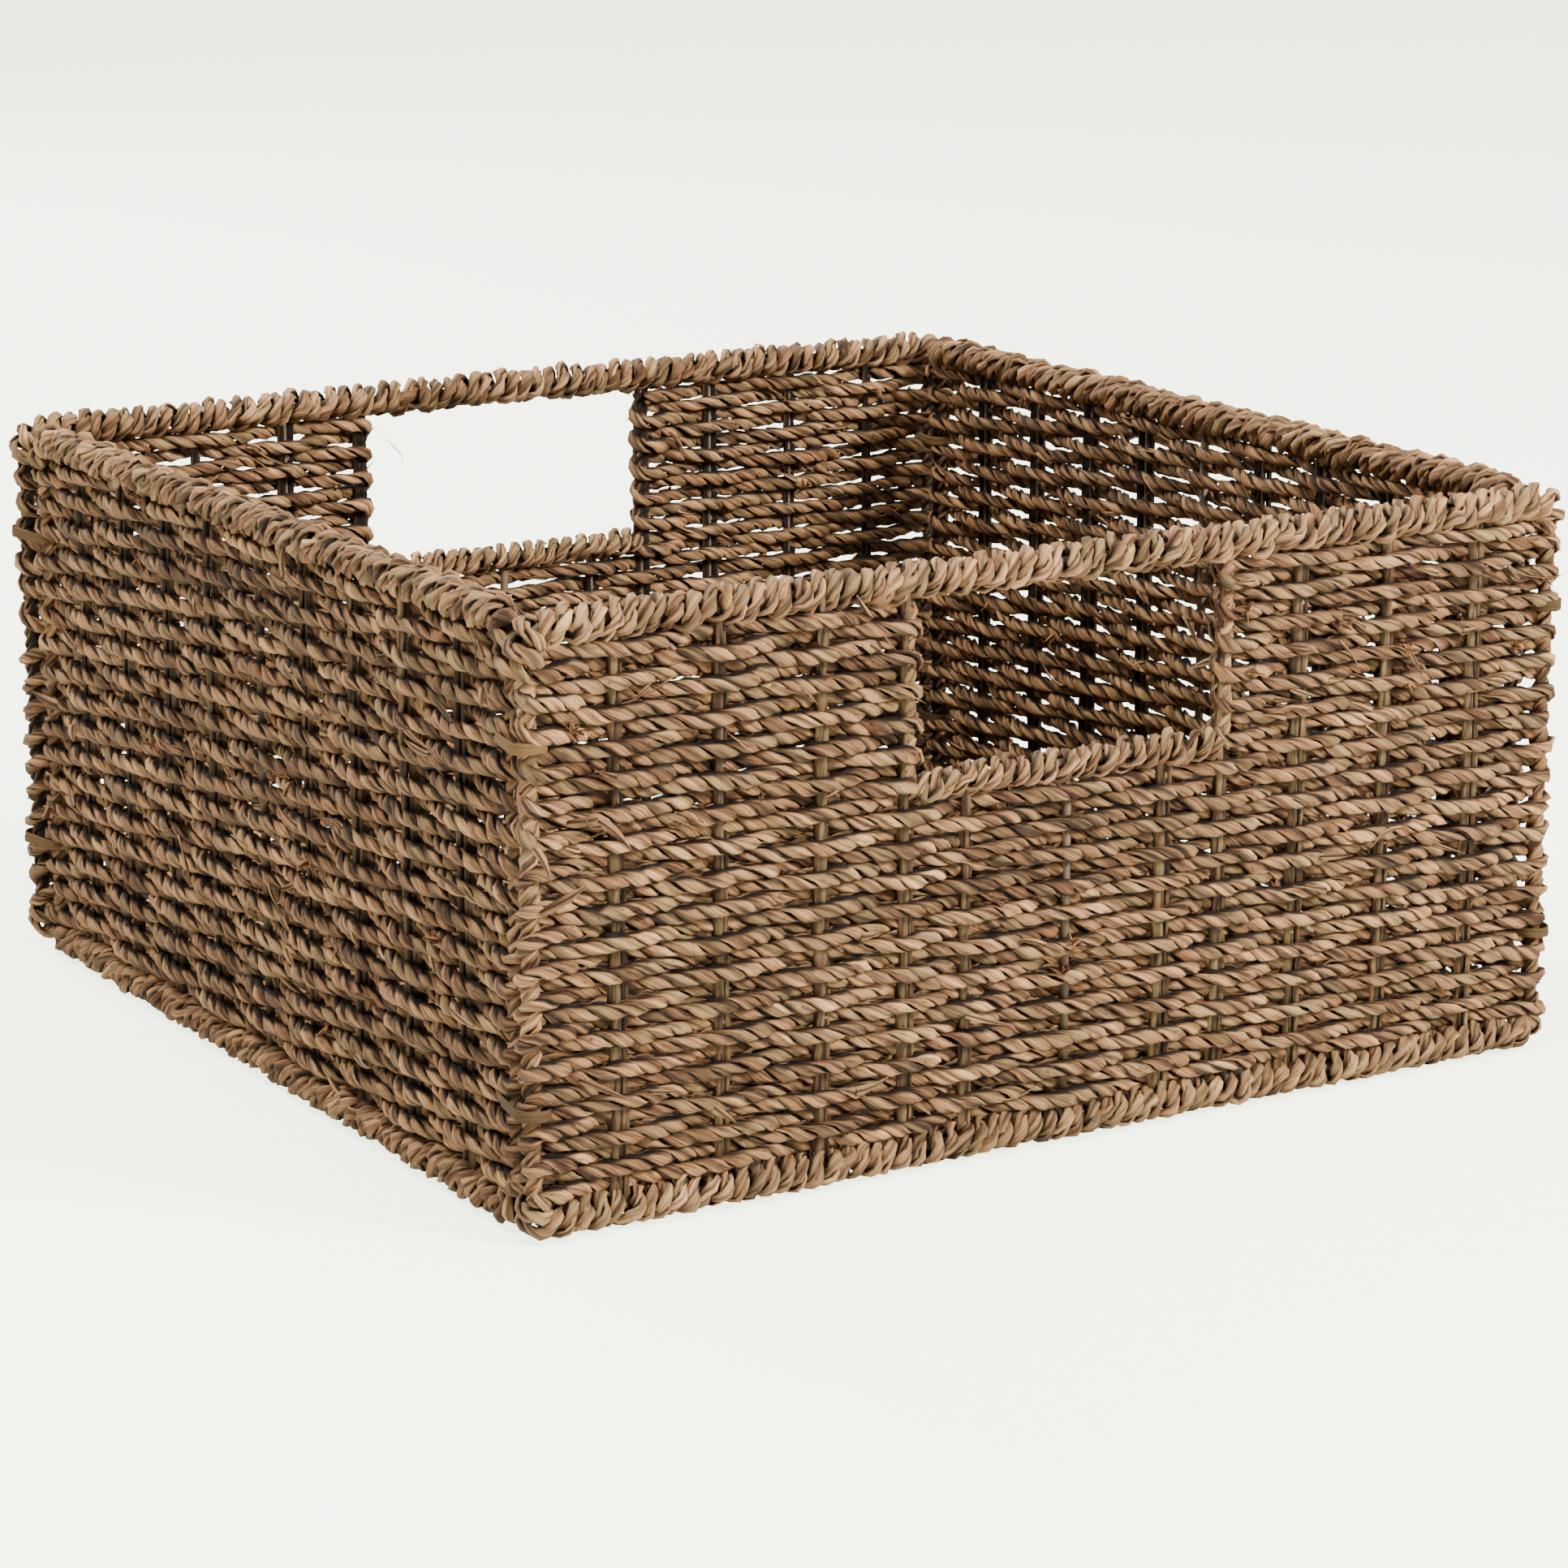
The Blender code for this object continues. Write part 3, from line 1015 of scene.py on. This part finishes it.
@dataclass
class RimWrap:
    """Leaf strands wound round a rim wire."""

    name: str
    axis: Array
    radius: float
    place: Matrix
    seed: int
    lay: float = 0.0106
    starts: int = 2
    blades: int = 2
    step: float = 0.0020
    blade_share: float = 0.245
    spread_share: float = 0.185
    blade_lay: float = 0.016
    depth: float = 0.73

    def strands(self) -> list[Strand]:
        """Wind the blades round the axis.

        Returns:
            Every blade of the wrapping.
        """
        rng = np.random.default_rng(self.seed)
        axis, length = resampled(self.axis, 0.0012)
        along = unit(np.gradient(axis, axis=0))
        out = np.tile(OUTWARDS, (len(axis), 1))
        up = np.cross(out, along)
        made = []
        bundle = Lay(self.radius * self.blade_share, self.radius * self.spread_share, self.blade_lay,
                     plies=self.blades, flat=0.9, uneven=0.22, step=self.step)
        drift = wobble(length, rng, self.lay * 3.3, 0.40)
        for start in range(self.starts):
            angle = TAU * length / self.lay + drift + TAU * start / self.starts
            angle = angle + wobble(length, rng, self.lay * 1.3, 0.52)
            away = np.cos(angle)[:, None] * out + np.sin(angle)[:, None] * up
            swell = self.radius * (self.depth + wobble(length, rng, self.lay * 0.8, 0.11))
            made += bundle.spin(axis + away * swell[:, None], away, rng)
        return made


def rim_axis(half: float, level: float, drop: float, radius: float) -> Array:
    """Return a rim wire's line with a rounded turn at each end.

    Args:
        half: Distance from the middle to the side wires.
        level: The rim's height.
        drop: How far the ends run along the side wires; negative downwards.
        radius: Radius of the turn.

    Returns:
        The line's points.
    """
    sign = math.copysign(1.0, drop)
    angle = np.linspace(0.0, math.pi / 2, 7)
    x = half - radius + radius * np.cos(angle)
    z = level + sign * radius - sign * radius * np.sin(angle)
    right = np.column_stack([x, np.zeros_like(x), z])
    left = right[::-1] * [-1.0, 1.0, 1.0]
    tail = np.array([[half, 0.0, level + drop]])
    return np.concatenate([tail, right, left, tail * [-1.0, 1.0, 1.0]])


@dataclass
class Frays:
    """Loose blade tips and brown husks that stand off the ropes."""

    ropes: Sequence[Strand]
    seed: int
    tips: int = 130
    husks: int = 22
    hairs: int = 14
    inner: float = 0.0048
    tip_length: tuple[float, float] = (0.006, 0.016)
    tip_radius: tuple[float, float] = (0.0005, 0.0011)
    tip_lift: float = 0.20
    hair_length: tuple[float, float] = (0.010, 0.022)
    hair_radius: tuple[float, float] = (0.00012, 0.0002)
    hair_lift: float = 0.75
    husk_length: tuple[float, float] = (0.0022, 0.0058)
    husk_radius: tuple[float, float] = (0.0005, 0.0011)

    def build(self) -> tuple[list[Strand], list[Strand]]:
        """Draw every loose end.

        Returns:
            The loose tips with the hairs, and the husks.
        """
        rng = np.random.default_rng(self.seed)
        kinds = ((self.tips, self.tip_length, self.tip_radius, self.tip_lift),
                 (self.hairs, self.hair_length, self.hair_radius, self.hair_lift))
        tips = [self.blade(rng, rng.uniform(*length), rng.uniform(*radius), lift)
                for count, length, radius, lift in kinds for _ in range(count)]
        husks: list[Strand] = []
        for _ in range(self.husks):
            husks += self.husk(rng)
        return tips, husks

    def reach(self) -> float:
        """Return how far from the middle the ropes run."""
        return max(float(np.abs(strand.points[:, 0]).max()) for strand in self.ropes)

    def perch(self, rng: np.random.Generator) -> tuple[Array, Array, Array]:
        """Pick a random spot on the open side of a rope.

        Args:
            rng: Seeded generator.

        Returns:
            The place, the rope's direction and the way outwards there.
        """
        while True:
            strand = self.ropes[rng.integers(len(self.ropes))]
            spot = int(rng.integers(2, len(strand.points) - 3))
            out = strand.outward[spot]
            face = math.copysign(1.0, strand.points[spot][1])
            if out[1] * face > 0.6:
                break
        along = strand.points[spot + 1] - strand.points[spot]
        place = strand.points[spot] + out * strand.radii[spot] * 0.75
        return place, along / np.linalg.norm(along), out

    def blade(self, rng: np.random.Generator, length: float, radius: float, lift: float) -> Strand:
        """Return one loose blade.

        Args:
            rng: Seeded generator.
            length: Its length.
            radius: Its widest radius.
            lift: How steeply it leaves the rope.

        Returns:
            The blade.
        """
        place, along, out = self.perch(rng)
        way = along * rng.choice([-1.0, 1.0]) + np.array([0.0, 0.0, rng.normal(0.0, 0.28)])
        way /= np.linalg.norm(way)
        if abs(place[0] + way[0] * length) > self.reach():
            way[0] = -way[0]
        share = np.linspace(0.0, 1.0, 8)
        height = lift * rng.uniform(0.4, 1.0) * length * np.sin(share * rng.uniform(1.2, 2.6))
        rise = out[None, :] * height[:, None]
        side = np.cross(way, out) * rng.normal(0.0, 0.18) * length
        points = place + way * (share * length)[:, None] + rise * 0.6 + side * (share ** 2)[:, None]
        points[:, 1] = np.minimum(points[:, 1], self.inner)
        radii = radius * np.clip(1.05 - share ** 2, 0.12, 1.0)
        return Strand(points, radii, float(rng.uniform(0.2, 1.0)))

    def husk(self, rng: np.random.Generator) -> list[Strand]:
        """Draw a small tuft of brown stubs.

        Args:
            rng: Seeded generator.

        Returns:
            The stubs.
        """
        place, along, out = self.perch(rng)
        made = []
        for _ in range(int(rng.integers(4, 8))):
            lean = out * 0.55 + along * rng.normal(0.0, 0.8) + rng.normal(0.0, 0.5, 3)
            way = unit(lean[None, :])[0]
            share = np.linspace(0.0, 1.0, 5)
            length = rng.uniform(*self.husk_length)
            points = place - out * 0.0006 + way * (share * length)[:, None]
            points[:, 2] += rng.normal(0.0, 0.0005) * share ** 2
            radii = rng.uniform(*self.husk_radius) * (1.1 - 0.7 * share)
            made.append(Strand(points, radii, float(rng.uniform())))
        return made


@dataclass
class LeafTie:
    """Flat leaf strips looped round two round bars that lie side by side."""

    name: str
    first: tuple[float, float]
    second: tuple[float, float]
    radii: tuple[float, float]
    place: Matrix
    seed: int
    loops: int = 2
    width: float = 0.0020
    rise: float = 0.0014

    def loop(self, rng: np.random.Generator, offset: float) -> Array:
        """Return one loop's points in the XY plane.

        Args:
            rng: Seeded generator.
            offset: The loop's height.

        Returns:
            The closed loop's points.
        """
        a = np.array(self.first)
        b = np.array(self.second)
        run = b - a
        head = math.atan2(run[1], run[0])
        grow = rng.uniform(0.0, 0.0004)
        points = []
        for centre, radius, low in ((b, self.radii[1], -1.0), (a, self.radii[0], 1.0)):
            for step in range(9):
                angle = head + (low * math.pi / 2) + math.pi * step / 8
                points.append((*(centre + (radius + grow) * np.array([math.cos(angle), math.sin(angle)])),
                               offset + rng.uniform(-0.0002, 0.0002)))
        line = np.array(points)
        lean = rng.uniform(-0.05, 0.05)
        line[:, 2] += lean * (line[:, 0] - a[0])
        return line

    def build(self) -> bpy.types.Object:
        """Wind the lashing.

        Returns:
            Every loop as one piece.
        """
        rng = np.random.default_rng(self.seed)
        curve = bpy.data.curves.new(self.name, "CURVE")
        curve.dimensions = "3D"
        curve.twist_mode = "Z_UP"
        curve.extrude = self.width / 2 - LEAF_THICKNESS
        curve.bevel_depth = LEAF_THICKNESS
        curve.bevel_resolution = 1
        for index in range(self.loops):
            line = self.loop(rng, (index - (self.loops - 1) / 2) * self.rise)
            add_line(curve, line, closed=True)
        mesh = mesh_of(curve, self.name)
        spots = spots_of(mesh)
        turn = np.arctan2(spots[:, 1] - self.first[1], spots[:, 0] - self.first[0])
        for key, values in (("along", turn * 0.01), ("around", spots[:, 2] * 900.0),
                            ("tone", np.full(len(spots), rng.uniform()))):
            stored = mesh.attributes.new(key, "FLOAT", "POINT")
            stored.data.foreach_set("value", values.astype(np.float32))
        return finished_piece(self.name, mesh, self.place)


# The basket


def put_on(piece: bpy.types.Object, finish: bpy.types.Material, body: str,
           replaced: Sequence[str]) -> None:
    """Dress a piece and tie it to the CAD.

    Args:
        piece: The piece.
        finish: Its material.
        body: The body it rides on.
        replaced: CAD nodes it stands for.
    """
    piece.data.materials.clear()
    piece.data.materials.append(finish)
    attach(piece, body)
    if replaced:
        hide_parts(*replaced)
    faces = sum(len(polygon.vertices) - 2 for polygon in piece.data.polygons)
    LOG.info("%s: %d triangles", piece.name, faces)


@dataclass
class Basket:
    """The whole basket, built from the CAD's boxes."""

    wire_inset: float = 0.0055
    rim: float = 0.006
    corner: float = 0.0048
    long_stakes: tuple[float, ...] = (-0.158, -0.123, -0.088, -0.0583, 0.0583, 0.088, 0.123, 0.158)
    short_stakes: tuple[float, ...] = (-0.0366, 0.0, 0.0366)
    side_stakes: tuple[float, ...] = (-0.14, -0.105, -0.07, -0.035, 0.0, 0.035, 0.07, 0.105, 0.14)
    base_stakes: tuple[float, ...] = (-0.127, -0.096, -0.064, -0.033, 0.0, 0.033, 0.064, 0.096, 0.127)
    tie_heights: tuple[float, ...] = (0.040, 0.150)
    weave: bpy.types.Material = field(init=False)
    wrap: bpy.types.Material = field(init=False)
    base: bpy.types.Material = field(init=False)
    leaf: bpy.types.Material = field(init=False)
    wire: bpy.types.Material = field(init=False)
    cord: bpy.types.Material = field(init=False)
    husk: bpy.types.Material = field(init=False)

    def make_finishes(self) -> None:
        """Make every material."""
        self.weave = SeagrassFinish("Seagrass rope", (
            (0.08, (0.047, 0.016, 0.003)), (0.34, (0.160, 0.074, 0.029)), (0.56, (0.301, 0.157, 0.071)),
            (0.76, (0.455, 0.248, 0.113)), (0.96, (0.690, 0.395, 0.188)))).build()
        # The winding uses its own range for the painted shade in its crevices.
        self.wrap = SeagrassFinish("Seagrass winding", (
            (0.08, (0.062, 0.023, 0.006)), (0.34, (0.191, 0.091, 0.038)), (0.56, (0.346, 0.187, 0.089)),
            (0.76, (0.506, 0.286, 0.137)), (0.96, (0.751, 0.451, 0.222))), hollow=(0.30, 0.72)).build()
        self.base = SeagrassFinish("Seagrass rope base", (
            (0.14, (0.041, 0.017, 0.004)), (0.36, (0.126, 0.058, 0.021)), (0.56, (0.231, 0.117, 0.048)),
            (0.74, (0.352, 0.190, 0.084)), (0.92, (0.512, 0.294, 0.131)))).build()
        self.cord = SeagrassFinish("Seagrass stake cord", (
            (0.14, (0.017, 0.007, 0.002)), (0.36, (0.046, 0.023, 0.009)), (0.56, (0.084, 0.045, 0.018)),
            (0.74, (0.130, 0.075, 0.033)), (0.92, (0.192, 0.115, 0.055)))).build()
        self.husk = SeagrassFinish("Brown husk", (
            (0.14, (0.070, 0.020, 0.005)), (0.36, (0.170, 0.058, 0.016)), (0.56, (0.290, 0.112, 0.036)),
            (0.74, (0.420, 0.186, 0.067)), (0.92, (0.600, 0.316, 0.134)))).build()
        self.leaf = LeafFinish("Olive leaf").build()
        self.wire = WireFinish("Coated wire").build()

    def strand_piece(self, name: str, strands: Sequence[Strand], place: Matrix,
                     finish: bpy.types.Material, replaced: Sequence[str] = (),
                     body: str = "walls", folds: Sequence[float] = PLAIN_FOLDS,
                     blade_twist: float = 190.0) -> None:
        """Build and dress one piece made of strands."""
        piece = build_strands(name, strands, folds, place, blade_twist)
        put_on(piece, finish, body, replaced)

    def wall(self, side: Side, seed: int) -> None:
        """Build one wall: ropes, stake covers and wound rims.

        Args:
            side: Which wall.
            seed: Seed of its random draws.
        """
        name = side.name.lower()
        low, high = (Vector(corner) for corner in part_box(name + "_top_wrap"))
        middle = (low + high) / 2
        faces_y = side in (Side.FRONT, Side.BACK)
        length = (high.x - low.x) if faces_y else (high.y - low.y)
        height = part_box(name + "_top_wrap")[1][2]
        turn = Matrix.Rotation(side.value * math.pi / 2, 4, "Z")
        place = Matrix.Translation((middle.x, middle.y, 0.0)) @ turn
        panel = Panel(length, height, self.rim, place,
                      self.long_stakes if faces_y else self.side_stakes, seed,
                      short_stakes=self.short_stakes if faces_y else (),
                      handle=self.sill(name) if faces_y else None,
                      tie_heights=self.tie_heights)
        lower, upper = panel.weave()
        tips, husks = Frays([*lower, *upper], seed + 50).build()
        for label, loose, finish in (("_loose_tips", tips, self.wrap), ("_husks", husks, self.husk)):
            self.strand_piece(name + label, loose, place, finish, folds=TIP_FOLDS, blade_twist=90.0)
        for label, ropes in (("_lower_ropes", lower), ("_upper_ropes", upper)):
            self.strand_piece(name + label, ropes, place, self.weave, [name + "_weave"])
        self.strand_piece(name + "_edge_ropes", panel.edge_ropes(), place, self.weave)
        self.strand_piece(name + "_stake_cords", panel.cords(), place, self.cord, blade_twist=60.0)
        piece = panel.wire_frame(name + "_wires")
        put_on(piece, self.wire, "walls", [name + "_wire_frame"])
        for label, level, drop in (("top", height - self.rim, -0.009), ("bottom", self.rim, 0.009)):
            axis = rim_axis(panel.half, level, drop, self.corner)
            wrap = RimWrap(name + "_" + label + "_winding", axis, self.rim, place,
                           seed + 7 + int(level * 100))
            self.strand_piece(wrap.name, wrap.strands(), place, self.wrap,
                              [name + "_" + label + "_wrap"])
        if faces_y:
            self.sill_wrap(name, place, seed)

    def sill(self, name: str) -> tuple[float, float]:
        """Return the hand opening's half width and the height of its lower bar's underside."""
        low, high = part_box(name + "_handle_sill_wrap")
        return (high[0] - low[0]) / 2, low[2]

    def sill_wrap(self, name: str, place: Matrix, seed: int) -> None:
        """Wind the hand opening's lower bar.

        Args:
            name: The wall's name.
            place: Matrix from the wall's frame to the room.
            seed: Seed of the wall's random draws.
        """
        low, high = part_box(name + "_handle_sill_wrap")
        half = (high[0] - low[0]) / 2 + 0.003
        level = high[2] - 0.005
        axis = np.array([[half, 0.0, level], [0.0, 0.0, level], [-half, 0.0, level]])
        wrap = RimWrap(name + "_handle_winding", axis, 0.0052, place, seed + 31)
        self.strand_piece(wrap.name, wrap.strands(), place, self.wrap,
                          [name + "_handle_sill_wrap"])

    def corner_ties(self) -> None:
        """Lash the four corners."""
        for index, name in enumerate(sorted(n for n in frame["nodes"] if n.startswith("corner_tie"))):
            low, high = (Vector(corner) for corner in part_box(name))
            middle = (low + high) / 2
            sx = math.copysign(1.0, middle.x)
            sy = math.copysign(1.0, middle.y)
            face = (sx * (CAD_BOX[1][0] - self.wire_inset), sy * (CAD_BOX[1][1] - self.rim))
            side_low, side_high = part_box(("left" if sx < 0 else "right") + "_weave")
            flank = ((side_low[0] + side_high[0]) / 2,
                     sy * ((side_high[1] - side_low[1]) / 2 - self.wire_inset))
            tie = LeafTie(name + "_leaves", face, flank, (0.0052, 0.0052),
                          Matrix.Translation((0.0, 0.0, middle.z)), 200 + index)
            put_on(tie.build(), self.leaf, "walls", [name])

    def base_panel(self) -> None:
        """Weave the base and wind its edges."""
        joint = frame["record"]["behaviour"]["joints"][0]
        hinge = Vector(joint["pos_m"])
        low, high = (Vector(corner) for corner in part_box("base_hinge_edge_wrap"))
        front_low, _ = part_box("base_front_edge_wrap")
        rim = (high.y - low.y) / 2
        length = high.x - low.x
        reach = hinge.y - front_low[1] - rim
        place = Matrix.Translation(hinge) @ Matrix.Rotation(math.pi / 2, 4, "X")
        panel = Panel(length - 4 * rim + 2 * 0.0055 - 0.006, reach, rim, place, self.base_stakes, 91,
                      reach=0.0022, step=0.0032, ends=(rim + 0.0035, reach - rim - 0.0035),
                      wire_loop=(length / 2 - rim, 0.0, reach), pitch=0.00455,
                      rope=Lay(ply_radius=0.00180, spread=0.00112, lay=0.0190, uneven=0.15))
        lower, upper = panel.weave()
        self.strand_piece("base_weave_ropes", [*lower, *upper], place, self.base,
                          ["base_weave"], "base_panel", BASE_FOLDS)
        piece = panel.wire_frame("base_wires")
        put_on(piece, self.wire, "base_panel", ["base_wire_frame"])
        side = length / 2 - rim
        edges = (("hinge", rim_axis(side, 0.0, rim, self.corner)),
                 ("front", rim_axis(side, reach, -rim, self.corner)),
                 ("left", [[-side, 0, rim], [-side, 0, reach / 2], [-side, 0, reach - rim]]),
                 ("right", [[side, 0, rim], [side, 0, reach / 2], [side, 0, reach - rim]]))
        for index, (label, line) in enumerate(edges):
            wrap = RimWrap("base_" + label + "_winding", np.array(line, float), rim, place, 120 + index,
                           lay=0.0082, step=0.0028)
            self.strand_piece(wrap.name, wrap.strands(), place, self.wrap,
                              ["base_" + label + "_edge_wrap"], "base_panel")

    def base_ties(self) -> None:
        """Loop the leaves that hinge the base."""
        joint = frame["record"]["behaviour"]["joints"][0]
        hinge = Vector(joint["pos_m"])
        rim_y = CAD_BOX[1][1] - self.rim
        turn = Matrix(((0, 0, 1, 0), (1, 0, 0, 0), (0, 1, 0, 0), (0, 0, 0, 1)))
        for index in range(4):
            name = f"base_tie_{index + 1}"
            low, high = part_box(name)
            place = Matrix.Translation(((low[0] + high[0]) / 2, 0.0, 0.0)) @ turn
            tie = LeafTie(name + "_leaves", (rim_y, hinge.z), (hinge.y, hinge.z), (0.0064, 0.0056), place,
                          300 + index)
            put_on(tie.build(), self.leaf, "walls", [name])


@dataclass
class Studio:
    """Pale floor, soft light and the camera."""

    lens: float = 110.2
    eye: tuple[float, float, float] = (-0.813, -1.361, 0.4775)
    yaw: float = math.radians(31.16)
    pitch: float = math.radians(14.28)
    pale: Colour = (0.88, 0.90, 0.84)
    warm: Colour = (0.95, 0.89, 0.81)
    tint: Colour = (0.84, 0.95, 0.76)
    surround: float = 0.42
    backdrop: float = 8.4
    glow: float = 3.7

    def build(self) -> None:
        """Set floor, world, lights and camera."""
        self.floor()
        self.world()
        self.lamp("key", (1.1, -2.0, 1.6), 0.7, 186.0)
        self.lamp("top", (-0.9, -0.4, 2.3), 1.2, 92.0)
        self.lamp("back", (-0.1, 2.3, 1.4), 1.2, 75.0)
        self.camera()

    def floor(self) -> None:
        """Add the plain floor."""
        mesh = bpy.data.meshes.new("floor")
        work = bmesh.new()
        bmesh.ops.create_grid(work, x_segments=1, y_segments=1, size=12.0)
        work.to_mesh(mesh)
        work.free()
        floor = bpy.data.objects.new("floor", mesh)
        bpy.context.scene.collection.objects.link(floor)
        floor.location.z = CAD_BOX[0][2] - FLOOR_GAP
        shader = Shader("Pale floor")
        shader.feed("Base Color", (*self.pale, 1.0))
        shader.feed("Roughness", 0.9)
        seen = Value(shader, shader.node("ShaderNodeLightPath").outputs["Is Camera Ray"])
        shader.feed("Emission Color", shader.mix(seen, (0.0, 0.0, 0.0), self.tint))
        shader.feed("Emission Strength", self.glow)
        mesh.materials.append(shader.material)

    def world(self) -> None:
        """Set an even pale surround."""
        world = bpy.data.worlds.new("studio")
        world.use_nodes = True
        tree = world.node_tree
        soft = tree.nodes["Background"]
        soft.inputs[0].default_value = (*self.warm, 1.0)
        soft.inputs[1].default_value = self.surround
        seen = tree.nodes.new("ShaderNodeBackground")
        seen.inputs[0].default_value = (*self.tint, 1.0)
        seen.inputs[1].default_value = self.backdrop
        mix = tree.nodes.new("ShaderNodeMixShader")
        path = tree.nodes.new("ShaderNodeLightPath")
        tree.links.new(path.outputs["Is Camera Ray"], mix.inputs[0])
        tree.links.new(soft.outputs[0], mix.inputs[1])
        tree.links.new(seen.outputs[0], mix.inputs[2])
        tree.links.new(mix.outputs[0], tree.nodes["World Output"].inputs[0])
        bpy.context.scene.world = world

    def lamp(self, name: str, place: tuple[float, float, float], size: float, power: float) -> None:
        """Add a soft square lamp aimed at the basket.

        Args:
            name: The lamp's name.
            place: Where it hangs.
            size: Length of its sides.
            power: Its power in watts.
        """
        light = bpy.data.lights.new(name, "AREA")
        light.size = size
        light.energy = power
        light.color = self.warm
        lamp = bpy.data.objects.new(name, light)
        lamp.location = place
        aim = Vector((0.0, 0.0, 0.08)) - Vector(place)
        lamp.rotation_euler = aim.to_track_quat("-Z", "Y").to_euler()
        bpy.context.scene.collection.objects.link(lamp)

    def camera(self) -> None:
        """Place the camera."""
        data = bpy.data.cameras.new("camera")
        data.lens = self.lens
        data.sensor_width = 36.0
        camera = bpy.data.objects.new("camera", data)
        level = math.cos(self.pitch)
        ahead = Vector((math.sin(self.yaw) * level, math.cos(self.yaw) * level, -math.sin(self.pitch)))
        camera.location = self.eye
        camera.rotation_euler = ahead.to_track_quat("-Z", "Y").to_euler()
        bpy.context.scene.collection.objects.link(camera)
        bpy.context.scene.camera = camera


def main() -> None:
    """Build the basket and the studio; each piece's triangle count is logged."""
    logging.basicConfig(level=logging.INFO, format="%(message)s")
    basket = Basket()
    basket.make_finishes()
    for side, seed in ((Side.FRONT, 11), (Side.BACK, 12), (Side.LEFT, 13), (Side.RIGHT, 14)):
        basket.wall(side, seed)
    basket.corner_ties()
    basket.base_panel()
    basket.base_ties()
    Studio().build()


if __name__ == "__main__":
    main()
